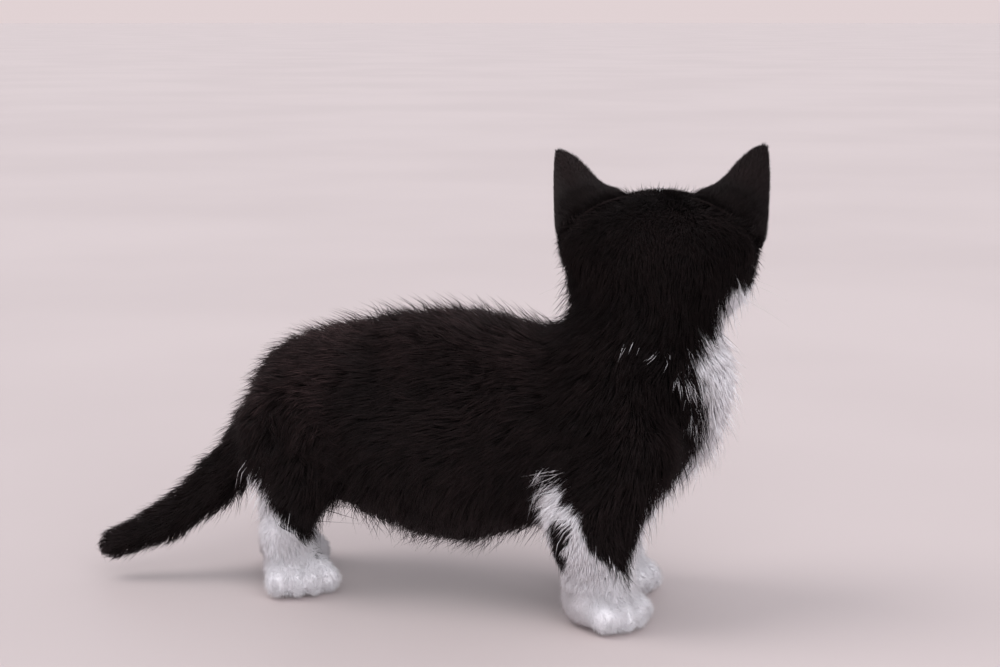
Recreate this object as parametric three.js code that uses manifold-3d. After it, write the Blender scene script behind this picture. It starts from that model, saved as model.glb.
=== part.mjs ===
// A munchkin kitten of about nine weeks, standing still with its head turned to its left.
// Millimetres, +Z up, the floor at z = 0. The kitten faces -Y and its left side is +X.
// The body is one smooth form, made from named masses that melt into each other, and is then
// parted by thin cuts into the nodes that a person would name.
import * as THREE from "three";
import { mergeVertices } from "three/addons/utils/BufferGeometryUtils.js";
import Module from "manifold-3d";

const wasm = await Module();
wasm.setup();

// Driving dimensions

const GAP = 0.3; // between touching nodes
const FLOOR = 0;
const SIDES = { right: -1, left: 1 };
const COLOUR = { black: 0x1d1719, white: 0xe6e2e4, eye: 0x6f8796, nose: 0xb98583 };

// Masses out to the coat's tips. Those with both are on each side of the middle plane.
const TRUNK = {
  ribs: { at: [0, -38, 63.5], radii: [30, 41, 34] },
  belly: { at: [0, 3, 59.5], radii: [34, 48, 42] },
  loin: { at: [0, 31, 61.5], radii: [28.5, 31.5, 35] },
  rump: { at: [0, 55, 64], radii: [26, 25, 27] },
  breast: { at: [3, -69, 78.5], radii: [20, 25, 22] },
  brisket: { at: [4, -65, 62], radii: [17, 21, 19] },
};
const MUSCLES = {
  shoulder: { at: [21, -56, 61], radii: [14, 22, 28], both: true },
  haunch: { at: [18, 56, 53], radii: [17, 21.5, 26], both: true },
};
const NECK = { base: [0, -58, 86], top: [4, -65, 107], radiusBase: 27, radiusTop: 25.5 };

// Legs by their joints, and which way each paw turns out
const FORELEG = {
  right: {
    shoulder: [-24, -66, 58],
    elbow: [-25, -51.5, 36],
    wrist: [-23, -53, 16],
    paw: [-23, -53],
    toeOut: 22,
  },
  left: {
    shoulder: [24, -62, 58],
    elbow: [25, -43, 36],
    wrist: [21, -44.5, 16],
    paw: [19.5, -46],
    toeOut: 16,
  },
};
const HINDLEG = {
  right: { hip: [-17, 58, 58], knee: [-22, 53, 38], hock: [-18, 60.5, 22], paw: [-16, 57.5], toeOut: 50 },
  left: { hip: [17, 57, 58], knee: [20, 58, 40], hock: [19, 77.5, 22], paw: [18, 75], toeOut: 42 },
};
const FORE_RADII = { shoulder: 15, elbow: 16.2, wrist: 10.4, ankle: 9.2 };
const HIND_RADII = { hip: 18, knee: 9.6, hock: 7.9, ankle: 8.4 };
const ANKLE = { height: 8, hindBack: 2 };

// Paw: a rounded pad with four toes fanned out in front of it
const PAW = {
  width: 11.3,
  height: 9.2,
  padLift: 7.8,
  toeRadius: 5.1,
  toeReach: [9.4, 12.4, 12.4, 9.4],
  toeSide: [-8.6, -3.3, 3.3, 8.6],
  toeRoot: { spread: 0.75, back: -3, lift: 8.4 },
  toeLift: 5.5,
  length: { fore: 13, hind: 10.8 },
  stretch: { fore: 1, hind: 0.74 },
};

// Tail: a bent tapering rod, low and swung a little to the right
const TAIL = {
  points: [[0, 60, 62], [-1, 78, 50], [-6, 93.5, 32.5], [-13, 109, 20.3], [-20, 125.5, 12.6]],
  radii: [14, 12, 10, 8, 6.2],
};

// Head, in its own frame: ahead, leftward and upward of the skull's centre
const HEAD = { centre: [8, -64.8, 117.5], turn: 99, lift: 3 };
const SKULL = {
  cranium: { at: [-5, 0, 3.5], radii: [26.5, 30, 20.5] },
  earBase: { at: [-4, 21, 8], radii: [14, 13, 12.5], both: true },
  cheek: { at: [2, 19.2, -6], radii: [16, 12.8, 12], both: true },
  forehead: { at: [9, 0, 9], radii: [14, 19, 12.5] },
  jaw: { at: [10, 0, -13], radii: [15, 15, 8] },
};
const BROWS = {
  brow: { at: [11, 13, 1], radii: [11.5, 12, 11], both: true },
  cheekbone: { at: [12, 14, -8], radii: [11, 10, 8], both: true },
};
const MUZZLE = {
  snout: { at: [20, 0, -8], radii: [11, 13, 8.5] },
  lip: { at: [27.6, 5, -9.6], radii: [7.2, 6.6, 5.2], both: true },
  chin: { at: [25.6, 0, -16], radii: [6.4, 6.4, 4.2] },
};
const BRIDGE = { from: [19, 0, 4.5], to: [31, 0, -3.6], radiusFrom: 6.4, radiusTo: 4.4 };
const EYE = { at: [17.4, 13.2, 0.6], radius: 7.6, outward: 20 };
const LIDS = { thick: 0.9, wide: 53, upper: 46, lower: 43, tilt: 8, corner: 0.1, reach: 1.6, points: 20 };
const NOSE = {
  at: [33.6, 0, -4.6],
  radii: [2.6, 4.3, 2.9],
  narrowing: 0.45,
  nostril: [1.6, 0.9, 0.7],
  nostrilAt: [35.3, 2.1, -5.3],
};
const MOUTH = {
  radius: 0.75,
  end: 0.6,
  lines: [
    { points: [[35.6, 0, -7], [35.3, 0, -10], [33.2, 0, -13]], both: false },
    { points: [[33.4, 0, -12.8], [32.6, 3.8, -14.6], [28.6, 8.4, -14.2], [23, 12, -13]], both: true },
  ],
};

// Points of a left ear in the head's frame, how far its cup swells, and its thickness. The inner
// edge is hollow low down and full near the tip, and the right ear is held a little higher.
const EAR = {
  inner: [-3, 11.5, 22],
  back: [-19, 27, 22],
  outer: [2.5, 32.2, 6],
  tip: { right: [-1, 33.4, 40.2], left: [-1, 33.4, 37.8] },
  innerSwell: [0.4, 0.5, -0.7],
  innerWave: [0, 0.64, -0.9],
  backSwell: [-1.6, 0.2, 0.4],
  outerSwell: [0.8, 1.2, 0],
  root: -0.12,
  end: 0.91,
  thickRoot: 1.6,
  thickTip: 1,
  rim: 0.45,
  rows: 8,
  columns: 10,
};

// How widely the forms melt into each other
const MELT = {
  trunk: 14, muscles: 10, flesh: 9, body: 10, head: 8,
  leg: 6, paw: 4, toes: 1.4, pairOfLegs: 4, allLegs: 6, tail: 4,
  skull: 8, brows: 5, muzzle: 4, browsOnSkull: 6, muzzleOnSkull: 4.5,
};

// Where the nodes part from each other. foreBack is from the elbow and hindFront from the knee.
const PART_AT = {
  headLow: { at: [-28, 0, -12], normal: [11, 0, 40] },
  neckLow: { at: [0, -30, 96.5], normal: [0, -0.4, 0.92] },
  elbow: 34,
  knee: 33,
  foreWrist: 12.5,
  hindWrist: 12,
  foreInside: 8,
  foreBack: 14.5,
  foreFront: -100,
  hindInside: 3,
  hindFront: -12,
  hindBack: 96,
  shoulderInside: 4,
  shoulderBall: { at: [24, -60, 54], radii: [24, 24, 28] },
  haunchBall: { at: [23, 55, 49], radii: [22, 28, 32] },
  tailRoot: { at: [0, 77, 62], normal: [0, 0.8, -0.6] },
  tailFront: { at: [0, 74, 34], normal: [0, 1, 1] },
  tailSide: { at: [10.5, 77, 0], normal: [-1, -0.35, 0] },
};

// The space that each node's grid covers, past its region on every side, and the grid's steps.
// For a leg x runs outward from the middle plane, and for a paw all are from the paw's middle.
const GRID = {
  torso: { x: [-54, 54], y: [-112, 98], z: [12, 112], step: [4, 4.5, 4] },
  neck: { x: [-40, 46], y: [-104, -22], z: [60, 116], step: [4, 4, 4] },
  tail: { x: [-36, 20], y: [64, 146], z: [2, 92], step: [3.2, 3.2, 3.2] },
  foreleg: { x: [0, 54], y: [-96, -22], z: [26, 96], step: [3.6, 3.6, 3.6] },
  thigh: { x: [-1, 54], y: [18, 94], z: [22, 94], step: [3.6, 3.6, 3.6] },
  forearm: { x: [0, 52], y: [-84, -16], z: [4, 40], step: [2.8, 2.8, 2.8] },
  shank: { x: [0, 52], y: [24, 100], z: [4, 39], step: [2.8, 2.8, 2.8] },
  paw: { x: [-24, 24], y: [-26, 28], z: [-7, 16.5], step: [1.8, 1.8, 1.8] },
};

// The head's grid, in the head's frame: a start, then each end with its step
const HEAD_GRID = {
  ahead: [-40, [-8, 3], [8, 2], [38, 1.5]],
  left: [-42, [-24, 3], [-16, 2], [16, 1.5], [24, 2], [42, 3]],
  up: [-38, [-24, 3], [6, 1.5], [32, 3]],
};

// The triangles of each net before it is parted
const TRIANGLES = {
  torso: 1950,
  neck: 700,
  head: 3400,
  tail: 900,
  foreleg: 900,
  forearm: 520,
  forepaw: 580,
  thigh: 900,
  shank: 520,
  hindpaw: 560,
};

const v3 = (x, y, z) => new THREE.Vector3(x, y, z);
const radians = THREE.MathUtils.degToRad;

// Distance fields, negative inside

function ellipsoid(centre, size) {
  return (p) => {
    const x = (p.x - centre[0]) / size[0];
    const y = (p.y - centre[1]) / size[1];
    const z = (p.z - centre[2]) / size[2];
    const near = Math.hypot(x, y, z);
    const slope = Math.hypot(x / size[0], y / size[1], z / size[2]);
    return slope < 1e-9 ? -Math.min(...size) : (near * (near - 1)) / slope;
  };
}

// A limb length that tapers from one radius to another
function taper(from, to, radiusFrom, radiusTo) {
  const a = v3(...from);
  const along = v3(...to).sub(a);
  const length2 = along.lengthSq();
  return (p) => {
    const x = p.x - a.x;
    const y = p.y - a.y;
    const z = p.z - a.z;
    const t = THREE.MathUtils.clamp((x * along.x + y * along.y + z * along.z) / length2, 0, 1);
    const off = Math.hypot(x - t * along.x, y - t * along.y, z - t * along.z);
    return off - THREE.MathUtils.lerp(radiusFrom, radiusTo, t);
  };
}

function meltPair(a, b, soft) {
  const h = Math.max(soft - Math.abs(a - b), 0) / soft;
  return Math.min(a, b) - (h * h * soft) / 4;
}

function melt(soft, ...fields) {
  return (p) => fields.reduce((sum, field) => meltPair(sum, field(p), soft), 1e3);
}

// The rounded masses of a group, those with both mirrored along one axis
function massesOf(group, axis) {
  return Object.values(group).flatMap(({ at, radii, both }) => {
    const mirrored = at.map((value, n) => (n === axis ? -value : value));
    return both ? [ellipsoid(at, radii), ellipsoid(mirrored, radii)] : [ellipsoid(at, radii)];
  });
}

function pawField(leg, kind) {
  const turn = radians(leg.toeOut) * Math.sign(leg.paw[0]);
  const [x0, y0] = leg.paw;
  const inPaw = (p) => {
    const x = p.x - x0;
    const y = p.y - y0;
    return v3(x * Math.cos(turn) + y * Math.sin(turn), y * Math.cos(turn) - x * Math.sin(turn), p.z);
  };
  const pad = ellipsoid([0, 0, PAW.padLift], [PAW.width, PAW.length[kind], PAW.height]);
  const { spread, back, lift } = PAW.toeRoot;
  const toes = PAW.toeReach.map((reach, n) => {
    const side = PAW.toeSide[n];
    const end = [side, -reach * PAW.stretch[kind], PAW.toeLift];
    return taper([side * spread, back, lift], end, PAW.toeRadius, PAW.toeRadius);
  });
  const shape = melt(MELT.toes, pad, ...toes);
  return (p) => shape(inPaw(p));
}

function forelegField(leg) {
  const { shoulder, elbow, wrist, ankle } = FORE_RADII;
  const upper = taper(leg.shoulder, leg.elbow, shoulder, elbow);
  const lower = taper(leg.elbow, leg.wrist, elbow, wrist);
  const foot = taper(leg.wrist, [...leg.paw, ANKLE.height], wrist, ankle);
  return melt(MELT.leg, upper, lower, melt(MELT.paw, foot, pawField(leg, "fore")));
}

function hindlegField(leg) {
  const { hip, knee, hock, ankle } = HIND_RADII;
  const [x, y] = leg.paw;
  const thigh = taper(leg.hip, leg.knee, hip, knee);
  const shank = taper(leg.knee, leg.hock, knee, hock);
  const foot = taper(leg.hock, [x, y + ANKLE.hindBack, ANKLE.height], hock, ankle);
  return melt(MELT.leg, thigh, shank, melt(MELT.paw, foot, pawField(leg, "hind")));
}

function tailField() {
  const { points, radii } = TAIL;
  const lengths = points.slice(1).map((to, i) => taper(points[i], to, radii[i], radii[i + 1]));
  return melt(MELT.tail, ...lengths);
}

const headTurn = radians(HEAD.turn);
const headLift = radians(HEAD.lift);
const HEAD_CENTRE = v3(...HEAD.centre);
const AHEAD = v3(
  Math.sin(headTurn) * Math.cos(headLift),
  -Math.cos(headTurn) * Math.cos(headLift),
  Math.sin(headLift),
);
const LEFTWARD = v3(Math.cos(headTurn), Math.sin(headTurn), 0);
const UPWARD = AHEAD.clone().cross(LEFTWARD);

const inHead = (p) => {
  const d = p.clone().sub(HEAD_CENTRE);
  return v3(d.dot(AHEAD), d.dot(LEFTWARD), d.dot(UPWARD));
};

const headward = (ahead, left, up) =>
  v3(0, 0, 0).addScaledVector(AHEAD, ahead).addScaledVector(LEFTWARD, left).addScaledVector(UPWARD, up);

const fromHead = (ahead, left, up) => headward(ahead, left, up).add(HEAD_CENTRE);

function headField() {
  const skull = melt(MELT.skull, ...massesOf(SKULL, 1));
  const brows = melt(MELT.brows, ...massesOf(BROWS, 1));
  const bridge = taper(BRIDGE.from, BRIDGE.to, BRIDGE.radiusFrom, BRIDGE.radiusTo);
  const muzzle = melt(MELT.muzzle, ...massesOf(MUZZLE, 1), bridge);
  const face = melt(MELT.muzzleOnSkull, melt(MELT.browsOnSkull, skull, brows), muzzle);
  return (p) => face(inHead(p));
}

function wholeField() {
  const trunk = melt(MELT.trunk, ...massesOf(TRUNK, 0));
  const muscles = melt(MELT.muscles, ...massesOf(MUSCLES, 0));
  const fore = melt(MELT.pairOfLegs, ...Object.values(FORELEG).map(forelegField));
  const hind = melt(MELT.pairOfLegs, ...Object.values(HINDLEG).map(hindlegField));
  const neck = taper(NECK.base, NECK.top, NECK.radiusBase, NECK.radiusTop);
  const flesh = melt(MELT.flesh, trunk, muscles, melt(MELT.allLegs, fore, hind));
  return melt(MELT.head, melt(MELT.body, flesh, neck, tailField()), headField());
}

const WHOLE = wholeField();

// Meshing

function slopeOf(field, p, step = 0.05) {
  const dx = field(v3(p.x + step, p.y, p.z)) - field(v3(p.x - step, p.y, p.z));
  const dy = field(v3(p.x, p.y + step, p.z)) - field(v3(p.x, p.y - step, p.z));
  const dz = field(v3(p.x, p.y, p.z + step)) - field(v3(p.x, p.y, p.z - step));
  return v3(dx, dy, dz).divideScalar(2 * step);
}

function solidOf(positions, triangles) {
  const geometry = new THREE.BufferGeometry();
  geometry.setAttribute("position", new THREE.Float32BufferAttribute(positions, 3));
  geometry.setIndex(triangles);
  return solidOfGeometry(geometry);
}

function solidOfGeometry(geometry) {
  const bare = geometry.clone();
  bare.deleteAttribute("normal");
  bare.deleteAttribute("uv");
  const merged = mergeVertices(bare, 1e-4);
  return new wasm.Manifold(
    new wasm.Mesh({
      numProp: 3,
      vertProperties: merged.attributes.position.array,
      triVerts: new Uint32Array(merged.index.array),
    }),
  );
}

// Fills the corner of a grid face wherever two pieces of the form would only touch along a line
function fillPinches(values, [nx, ny, nz]) {
  const steps = [1, nx, nx * ny];
  const filled = -1e-3;
  let found = true;
  while (found) {
    found = false;
    for (let k = 0; k < nz - 1; k++)
      for (let j = 0; j < ny - 1; j++)
        for (let i = 0; i < nx - 1; i++) {
          const a = (k * ny + j) * nx + i;
          for (const [u, w] of [[0, 1], [1, 2], [0, 2]]) {
            const face = [a, a + steps[u], a + steps[u] + steps[w], a + steps[w]];
            const inside = face.map((n) => values[n] < 0);
            if (inside[0] !== inside[2] || inside[1] !== inside[3] || inside[0] === inside[1]) continue;
            const empty = inside[0] ? [face[1], face[3]] : [face[0], face[2]];
            values[values[empty[0]] < values[empty[1]] ? empty[0] : empty[1]] = filled;
            found = true;
          }
        }
  }
}

// Grid lines from stretches of even steps, given as a start and then each end with its step
function gridLines(start, ...stretches) {
  const lines = [start];
  for (const [end, step] of stretches) {
    const from = lines[lines.length - 1];
    const count = Math.max(1, Math.round((end - from) / step));
    for (let n = 1; n <= count; n++) lines.push(from + ((end - from) * n) / count);
  }
  return lines;
}

// How a net is thinned: the weight on even edges, the share of edges joined in one round, the
// pull to an edge's middle, how far a face may turn (a cosine) and how thin it may become
const THIN = { even: 2e-4, share: 0.12, pull: 1e-2, turn: 0.35, sliver: 0.12 };

// Thins a closed net to a number of triangles, joining the ends of the flattest edges first
function thin(positions, triangles, target) {
  const count = positions.length / 3;
  const point = Array.from({ length: count }, (_, n) => v3(...positions.slice(3 * n, 3 * n + 3)));
  let faces = [];
  for (let n = 0; n < triangles.length; n += 3) faces.push(triangles.slice(n, n + 3));
  // Each point keeps the sum of squared distances to the planes it has stood for
  const sums = point.map(() => new Float64Array(10));
  const faceNormal = (a, b, c) => b.clone().sub(a).cross(c.clone().sub(a));
  for (const [a, b, c] of faces) {
    const normal = faceNormal(point[a], point[b], point[c]);
    const area = normal.length() / 2;
    normal.normalize();
    const [x, y, z] = normal.toArray();
    const d = -normal.dot(point[a]);
    const parts = [x * x, x * y, x * z, x * d, y * y, y * z, y * d, z * z, z * d, d * d];
    for (const n of [a, b, c]) parts.forEach((value, m) => (sums[n][m] += value * area));
  }
  const costOf = (q, p) =>
    q[0] * p.x * p.x + 2 * q[1] * p.x * p.y + 2 * q[2] * p.x * p.z + 2 * q[3] * p.x + q[4] * p.y * p.y +
    2 * q[5] * p.y * p.z + 2 * q[6] * p.y + q[7] * p.z * p.z + 2 * q[8] * p.z + q[9];
  const matrix = new THREE.Matrix3();
  const bestPlace = (q, a, b) => {
    const middle = a.clone().lerp(b, 0.5);
    const pull = THIN.pull * (q[0] + q[4] + q[7]) + 1e-9;
    matrix.set(q[0] + pull, q[1], q[2], q[1], q[4] + pull, q[5], q[2], q[5], q[7] + pull);
    const place = middle.clone().multiplyScalar(pull).sub(v3(q[3], q[6], q[8]));
    place.applyMatrix3(matrix.invert());
    return place.distanceTo(middle) > a.distanceTo(b) ? middle : place;
  };
  while (faces.length > target) {
    const around = point.map(() => []);
    faces.forEach((face, f) => face.forEach((n) => around[n].push(f)));
    const ringOf = (n) => new Set(around[n].flatMap((f) => faces[f]).filter((m) => m !== n));
    const edges = [];
    for (const [a, b, c] of faces)
      for (const [m, n] of [[a, b], [b, c], [c, a]]) {
        if (m > n) continue;
        const q = sums[m].map((value, e) => value + sums[n][e]);
        const place = bestPlace(q, point[m], point[n]);
        const length2 = point[m].distanceToSquared(point[n]);
        edges.push({ m, n, q, place, cost: costOf(q, place) + THIN.even * length2 * length2 });
      }
    edges.sort((a, b) => a.cost - b.cost);
    const touched = new Set();
    const gone = new Set();
    const quota = Math.max(8, Math.floor(edges.length * THIN.share));
    let left = faces.length;
    let joined = 0;
    for (const { m, n, q, place } of edges) {
      if (left <= target || joined >= quota) break;
      if (touched.has(m) || touched.has(n)) continue;
      const ringM = ringOf(m);
      const ringN = ringOf(n);
      const shared = [...ringM].filter((k) => ringN.has(k));
      if (shared.length !== 2 || ringM.size + ringN.size < 8) continue;
      if (shared.some((k) => around[k].length < 5)) continue;
      const turns = [[m, n], [n, m]].some(([from, to]) =>
        around[from].some((f) => {
          if (faces[f].includes(to)) return false;
          const before = faceNormal(...faces[f].map((k) => point[k]));
          const after = faceNormal(...faces[f].map((k) => (k === from ? place : point[k])));
          const longest = Math.max(...faces[f].map((k) => (k === from ? 0 : point[k].distanceTo(place))));
          return (
            after.dot(before) < THIN.turn * after.length() * before.length() ||
            after.length() < THIN.sliver * longest * longest
          );
        }),
      );
      if (turns) continue;
      point[m].copy(place);
      sums[m] = q;
      for (const f of around[m]) if (faces[f].includes(n)) gone.add(f);
      for (const f of around[n]) faces[f] = faces[f].map((k) => (k === n ? m : k));
      for (const k of [...ringM, ...ringN, m, n]) touched.add(k);
      left -= 2;
      joined++;
    }
    faces = faces.filter((_, f) => !gone.has(f));
    if (joined === 0) break;
  }
  const kept = new Map();
  const places = [];
  const indexOf = (n) => {
    if (!kept.has(n)) {
      kept.set(n, places.length / 3);
      places.push(...point[n].toArray());
    }
    return kept.get(n);
  };
  return solidOf(places, faces.flat().map(indexOf));
}

// A closed net over a field: one point in each grid cell that the surface crosses, moved onto the
// surface, and one face for each grid edge that it crosses
function netOf(field, lines, target, toWorld = (p) => p) {
  const [nx, ny, nz] = lines.map((line) => line.length);
  const at = (i, j, k) => (k * ny + j) * nx + i;
  const place = (i, j, k) => v3(lines[0][i], lines[1][j], lines[2][k]);
  const here = (p) => field(toWorld(p));
  const values = new Float32Array(nx * ny * nz);
  for (let k = 0; k < nz; k++)
    for (let j = 0; j < ny; j++)
      for (let i = 0; i < nx; i++) {
        const rim = i === 0 || j === 0 || k === 0 || i === nx - 1 || j === ny - 1 || k === nz - 1;
        const value = here(place(i, j, k));
        values[at(i, j, k)] = rim ? Math.max(value, 1) : value;
      }
  fillPinches(values, [nx, ny, nz]);
  const corners = [0, 1, 2, 3, 4, 5, 6, 7].map((c) => [c & 1, (c >> 1) & 1, (c >> 2) & 1]);
  const edges = [];
  corners.forEach((a, m) =>
    corners.forEach((b, n) => {
      const apart = Math.abs(a[0] - b[0]) + Math.abs(a[1] - b[1]) + Math.abs(a[2] - b[2]);
      if (m < n && apart === 1) edges.push([m, n]);
    }),
  );
  const index = new Int32Array(values.length).fill(-1);
  const positions = [];
  for (let k = 0; k < nz - 1; k++)
    for (let j = 0; j < ny - 1; j++)
      for (let i = 0; i < nx - 1; i++) {
        const around = corners.map(([a, b, c]) => values[at(i + a, j + b, k + c)]);
        const mean = v3(0, 0, 0);
        let crossed = 0;
        for (const [m, n] of edges) {
          if (around[m] < 0 === around[n] < 0) continue;
          const t = around[m] / (around[m] - around[n]);
          const a = corners[m];
          const b = corners[n];
          mean.add(v3(a[0] + t * (b[0] - a[0]), a[1] + t * (b[1] - a[1]), a[2] + t * (b[2] - a[2])));
          crossed++;
        }
        if (!crossed) continue;
        const low = place(i, j, k);
        const size = place(i + 1, j + 1, k + 1).sub(low);
        const start = mean.divideScalar(crossed).multiply(size).add(low);
        const p = start.clone();
        for (let round = 0; round < 3; round++) {
          const slope = slopeOf(here, p);
          p.addScaledVector(slope, -here(p) / Math.max(slope.lengthSq(), 0.1));
          p.sub(start).clampLength(0, Math.min(size.x, size.y, size.z) * 0.45).add(start);
        }
        index[at(i, j, k)] = positions.length / 3;
        positions.push(...toWorld(p).toArray());
      }
  const triangles = [];
  const gap = (m, n) =>
    Math.hypot(...[0, 1, 2].map((e) => positions[3 * m + e] - positions[3 * n + e]));
  const quad = (cells, flip) => {
    const [a, b, c, d] = cells.map(([i, j, k]) => index[at(i, j, k)]);
    const [q, r, s, t] = flip ? [a, d, c, b] : [a, b, c, d];
    if (gap(q, s) <= gap(r, t)) triangles.push(q, r, s, q, s, t);
    else triangles.push(r, s, t, r, t, q);
  };
  for (let k = 1; k < nz - 1; k++)
    for (let j = 1; j < ny - 1; j++)
      for (let i = 1; i < nx - 1; i++) {
        const inside = values[at(i, j, k)] < 0;
        const [h, g, f] = [i - 1, j - 1, k - 1];
        if (inside !== values[at(i + 1, j, k)] < 0)
          quad([[i, g, f], [i, j, f], [i, j, k], [i, g, k]], !inside);
        if (inside !== values[at(i, j + 1, k)] < 0)
          quad([[h, j, f], [h, j, k], [i, j, k], [i, j, f]], !inside);
        if (inside !== values[at(i, j, k + 1)] < 0)
          quad([[h, g, k], [i, g, k], [i, j, k], [h, j, k]], !inside);
        if (i === 1 && inside) quad([[h, g, f], [h, j, f], [h, j, k], [h, g, k]], true);
        if (j === 1 && inside) quad([[h, g, f], [h, g, k], [i, g, k], [i, g, f]], true);
        if (k === 1 && inside) quad([[h, g, f], [i, g, f], [i, j, f], [h, j, f]], true);
      }
  return thin(positions, triangles, target);
}

// Cutting

const BIG = 600;

// All that lies beyond a plane on the side its normal points to
function beyond(point, normal, back = 0) {
  const n = v3(...normal).normalize();
  const box = new THREE.BoxGeometry(BIG, BIG, BIG);
  box.translate(0, 0, BIG / 2 - back);
  const turn = new THREE.Quaternion().setFromUnitVectors(v3(0, 0, 1), n);
  const at = new THREE.Matrix4().compose(v3(...point), turn, v3(1, 1, 1));
  return solidOfGeometry(box.applyMatrix4(at));
}

// A region bounded by planes, moved outward by a small amount
function region(planes, grow) {
  const walls = planes.map(([point, normal]) => beyond(point, normal, grow));
  return walls.reduce((a, b) => a.intersect(b));
}

function ball(centre, radii, wide = 24, tall = 16) {
  const geometry = new THREE.SphereGeometry(1, wide, tall);
  geometry.scale(...radii);
  geometry.translate(...centre);
  return solidOfGeometry(geometry);
}

function largest(solid) {
  return solid.decompose().reduce((a, b) => (a.volume() >= b.volume() ? a : b));
}

// Planes and regions that part the nodes
const planeOf = ({ at, normal }) => [at, normal];
const turned = ([point, normal]) => [point, normal.map((n) => -n)];
const headPlane = [
  fromHead(...PART_AT.headLow.at).toArray(),
  headward(...PART_AT.headLow.normal).toArray(),
];
const neckPlane = planeOf(PART_AT.neckLow);
const tailRoot = planeOf(PART_AT.tailRoot);
const tailFront = planeOf(PART_AT.tailFront);
const tailSide = planeOf(PART_AT.tailSide);

// Square across the tail at one of its points
const acrossTail = (i) => {
  const along = v3(...TAIL.points[i + 1]).sub(v3(...TAIL.points[i]));
  return [TAIL.points[i], along.normalize().toArray()];
};
const tailMiddle = acrossTail(2);
const tailTip = acrossTail(3);

const legSide = (side, x) => [[side * x, 0, 0], [side, 0, 0]];
const below = (z) => [[0, 0, z], [0, 0, -1]];
const above = (z) => [[0, 0, z], [0, 0, 1]];
const ahead = (y) => [[0, y, 0], [0, -1, 0]];
const behind = (y) => [[0, y, 0], [0, 1, 0]];

const muscleBall = ({ at: [x, y, z], radii }, side, grow) =>
  ball([side * x, y, z], radii.map((r) => r + grow), 20, 12);

const REGIONS = {
  head: (g) => region([headPlane, neckPlane], g),
  neck: (g) => region([turned(headPlane), neckPlane], g),
  tail_base: (g) => region([tailRoot, tailFront, tailSide, turned(tailMiddle)], g),
  tail_middle: (g) => region([tailFront, tailSide, tailMiddle, turned(tailTip)], g),
  tail_tip: (g) => region([tailSide, tailTip], g),
};
for (const [name, side] of Object.entries(SIDES)) {
  const foreBack = FORELEG[name].elbow[1] + PART_AT.foreBack;
  const fore = [legSide(side, PART_AT.foreInside), ahead(foreBack), behind(PART_AT.foreFront)];
  const hindFront = HINDLEG[name].knee[1] + PART_AT.hindFront;
  const hind = [legSide(side, PART_AT.hindInside), behind(hindFront), ahead(PART_AT.hindBack)];
  const shoulder = [above(PART_AT.elbow), legSide(side, PART_AT.shoulderInside), turned(neckPlane)];
  const haunch = [above(PART_AT.knee), legSide(side, PART_AT.hindInside), turned(tailRoot)];
  Object.assign(REGIONS, {
    [`foreleg_${name}`]: (g) => muscleBall(PART_AT.shoulderBall, side, g).intersect(region(shoulder, g)),
    [`forearm_${name}`]: (g) => region([...fore, below(PART_AT.elbow), above(PART_AT.foreWrist)], g),
    [`forepaw_${name}`]: (g) => region([...fore, below(PART_AT.foreWrist)], g),
    [`thigh_${name}`]: (g) => muscleBall(PART_AT.haunchBall, side, g).intersect(region(haunch, g)),
    [`shank_${name}`]: (g) => region([...hind, below(PART_AT.knee), above(PART_AT.hindWrist)], g),
    [`hindpaw_${name}`]: (g) => region([...hind, below(PART_AT.hindWrist)], g),
  });
}
const ABOVE_FLOOR = region([above(FLOOR)], 0);

const headGrid = Object.values(HEAD_GRID).map((stretches) => gridLines(...stretches));

function gridOf({ x, y, z, step }, side = 1, [x0, y0] = [0, 0]) {
  const across = side > 0 ? x : [-x[1], -x[0]];
  const ends = [across.map((value) => value + x0), y.map((value) => value + y0), z];
  return ends.map(([from, to], n) => gridLines(from, [to, step[n]]));
}

const toWorld = (p) => fromHead(p.x, p.y, p.z);

// Eyes, lids and the space between them
const eyeCentre = (side) => [EYE.at[0], side * EYE.at[1], EYE.at[2]];

function eyeBall(side, radius, wide = 18, tall = 12) {
  const geometry = new THREE.SphereGeometry(radius, wide, tall);
  geometry.rotateZ(-Math.PI / 2);
  return headSolid(geometry, eyeCentre(side));
}

function headSolid(geometry, centre) {
  const at = fromHead(...centre);
  const turn = new THREE.Matrix4().makeBasis(AHEAD, LEFTWARD, UPWARD).setPosition(at);
  return solidOfGeometry(geometry.applyMatrix4(turn));
}

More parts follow.
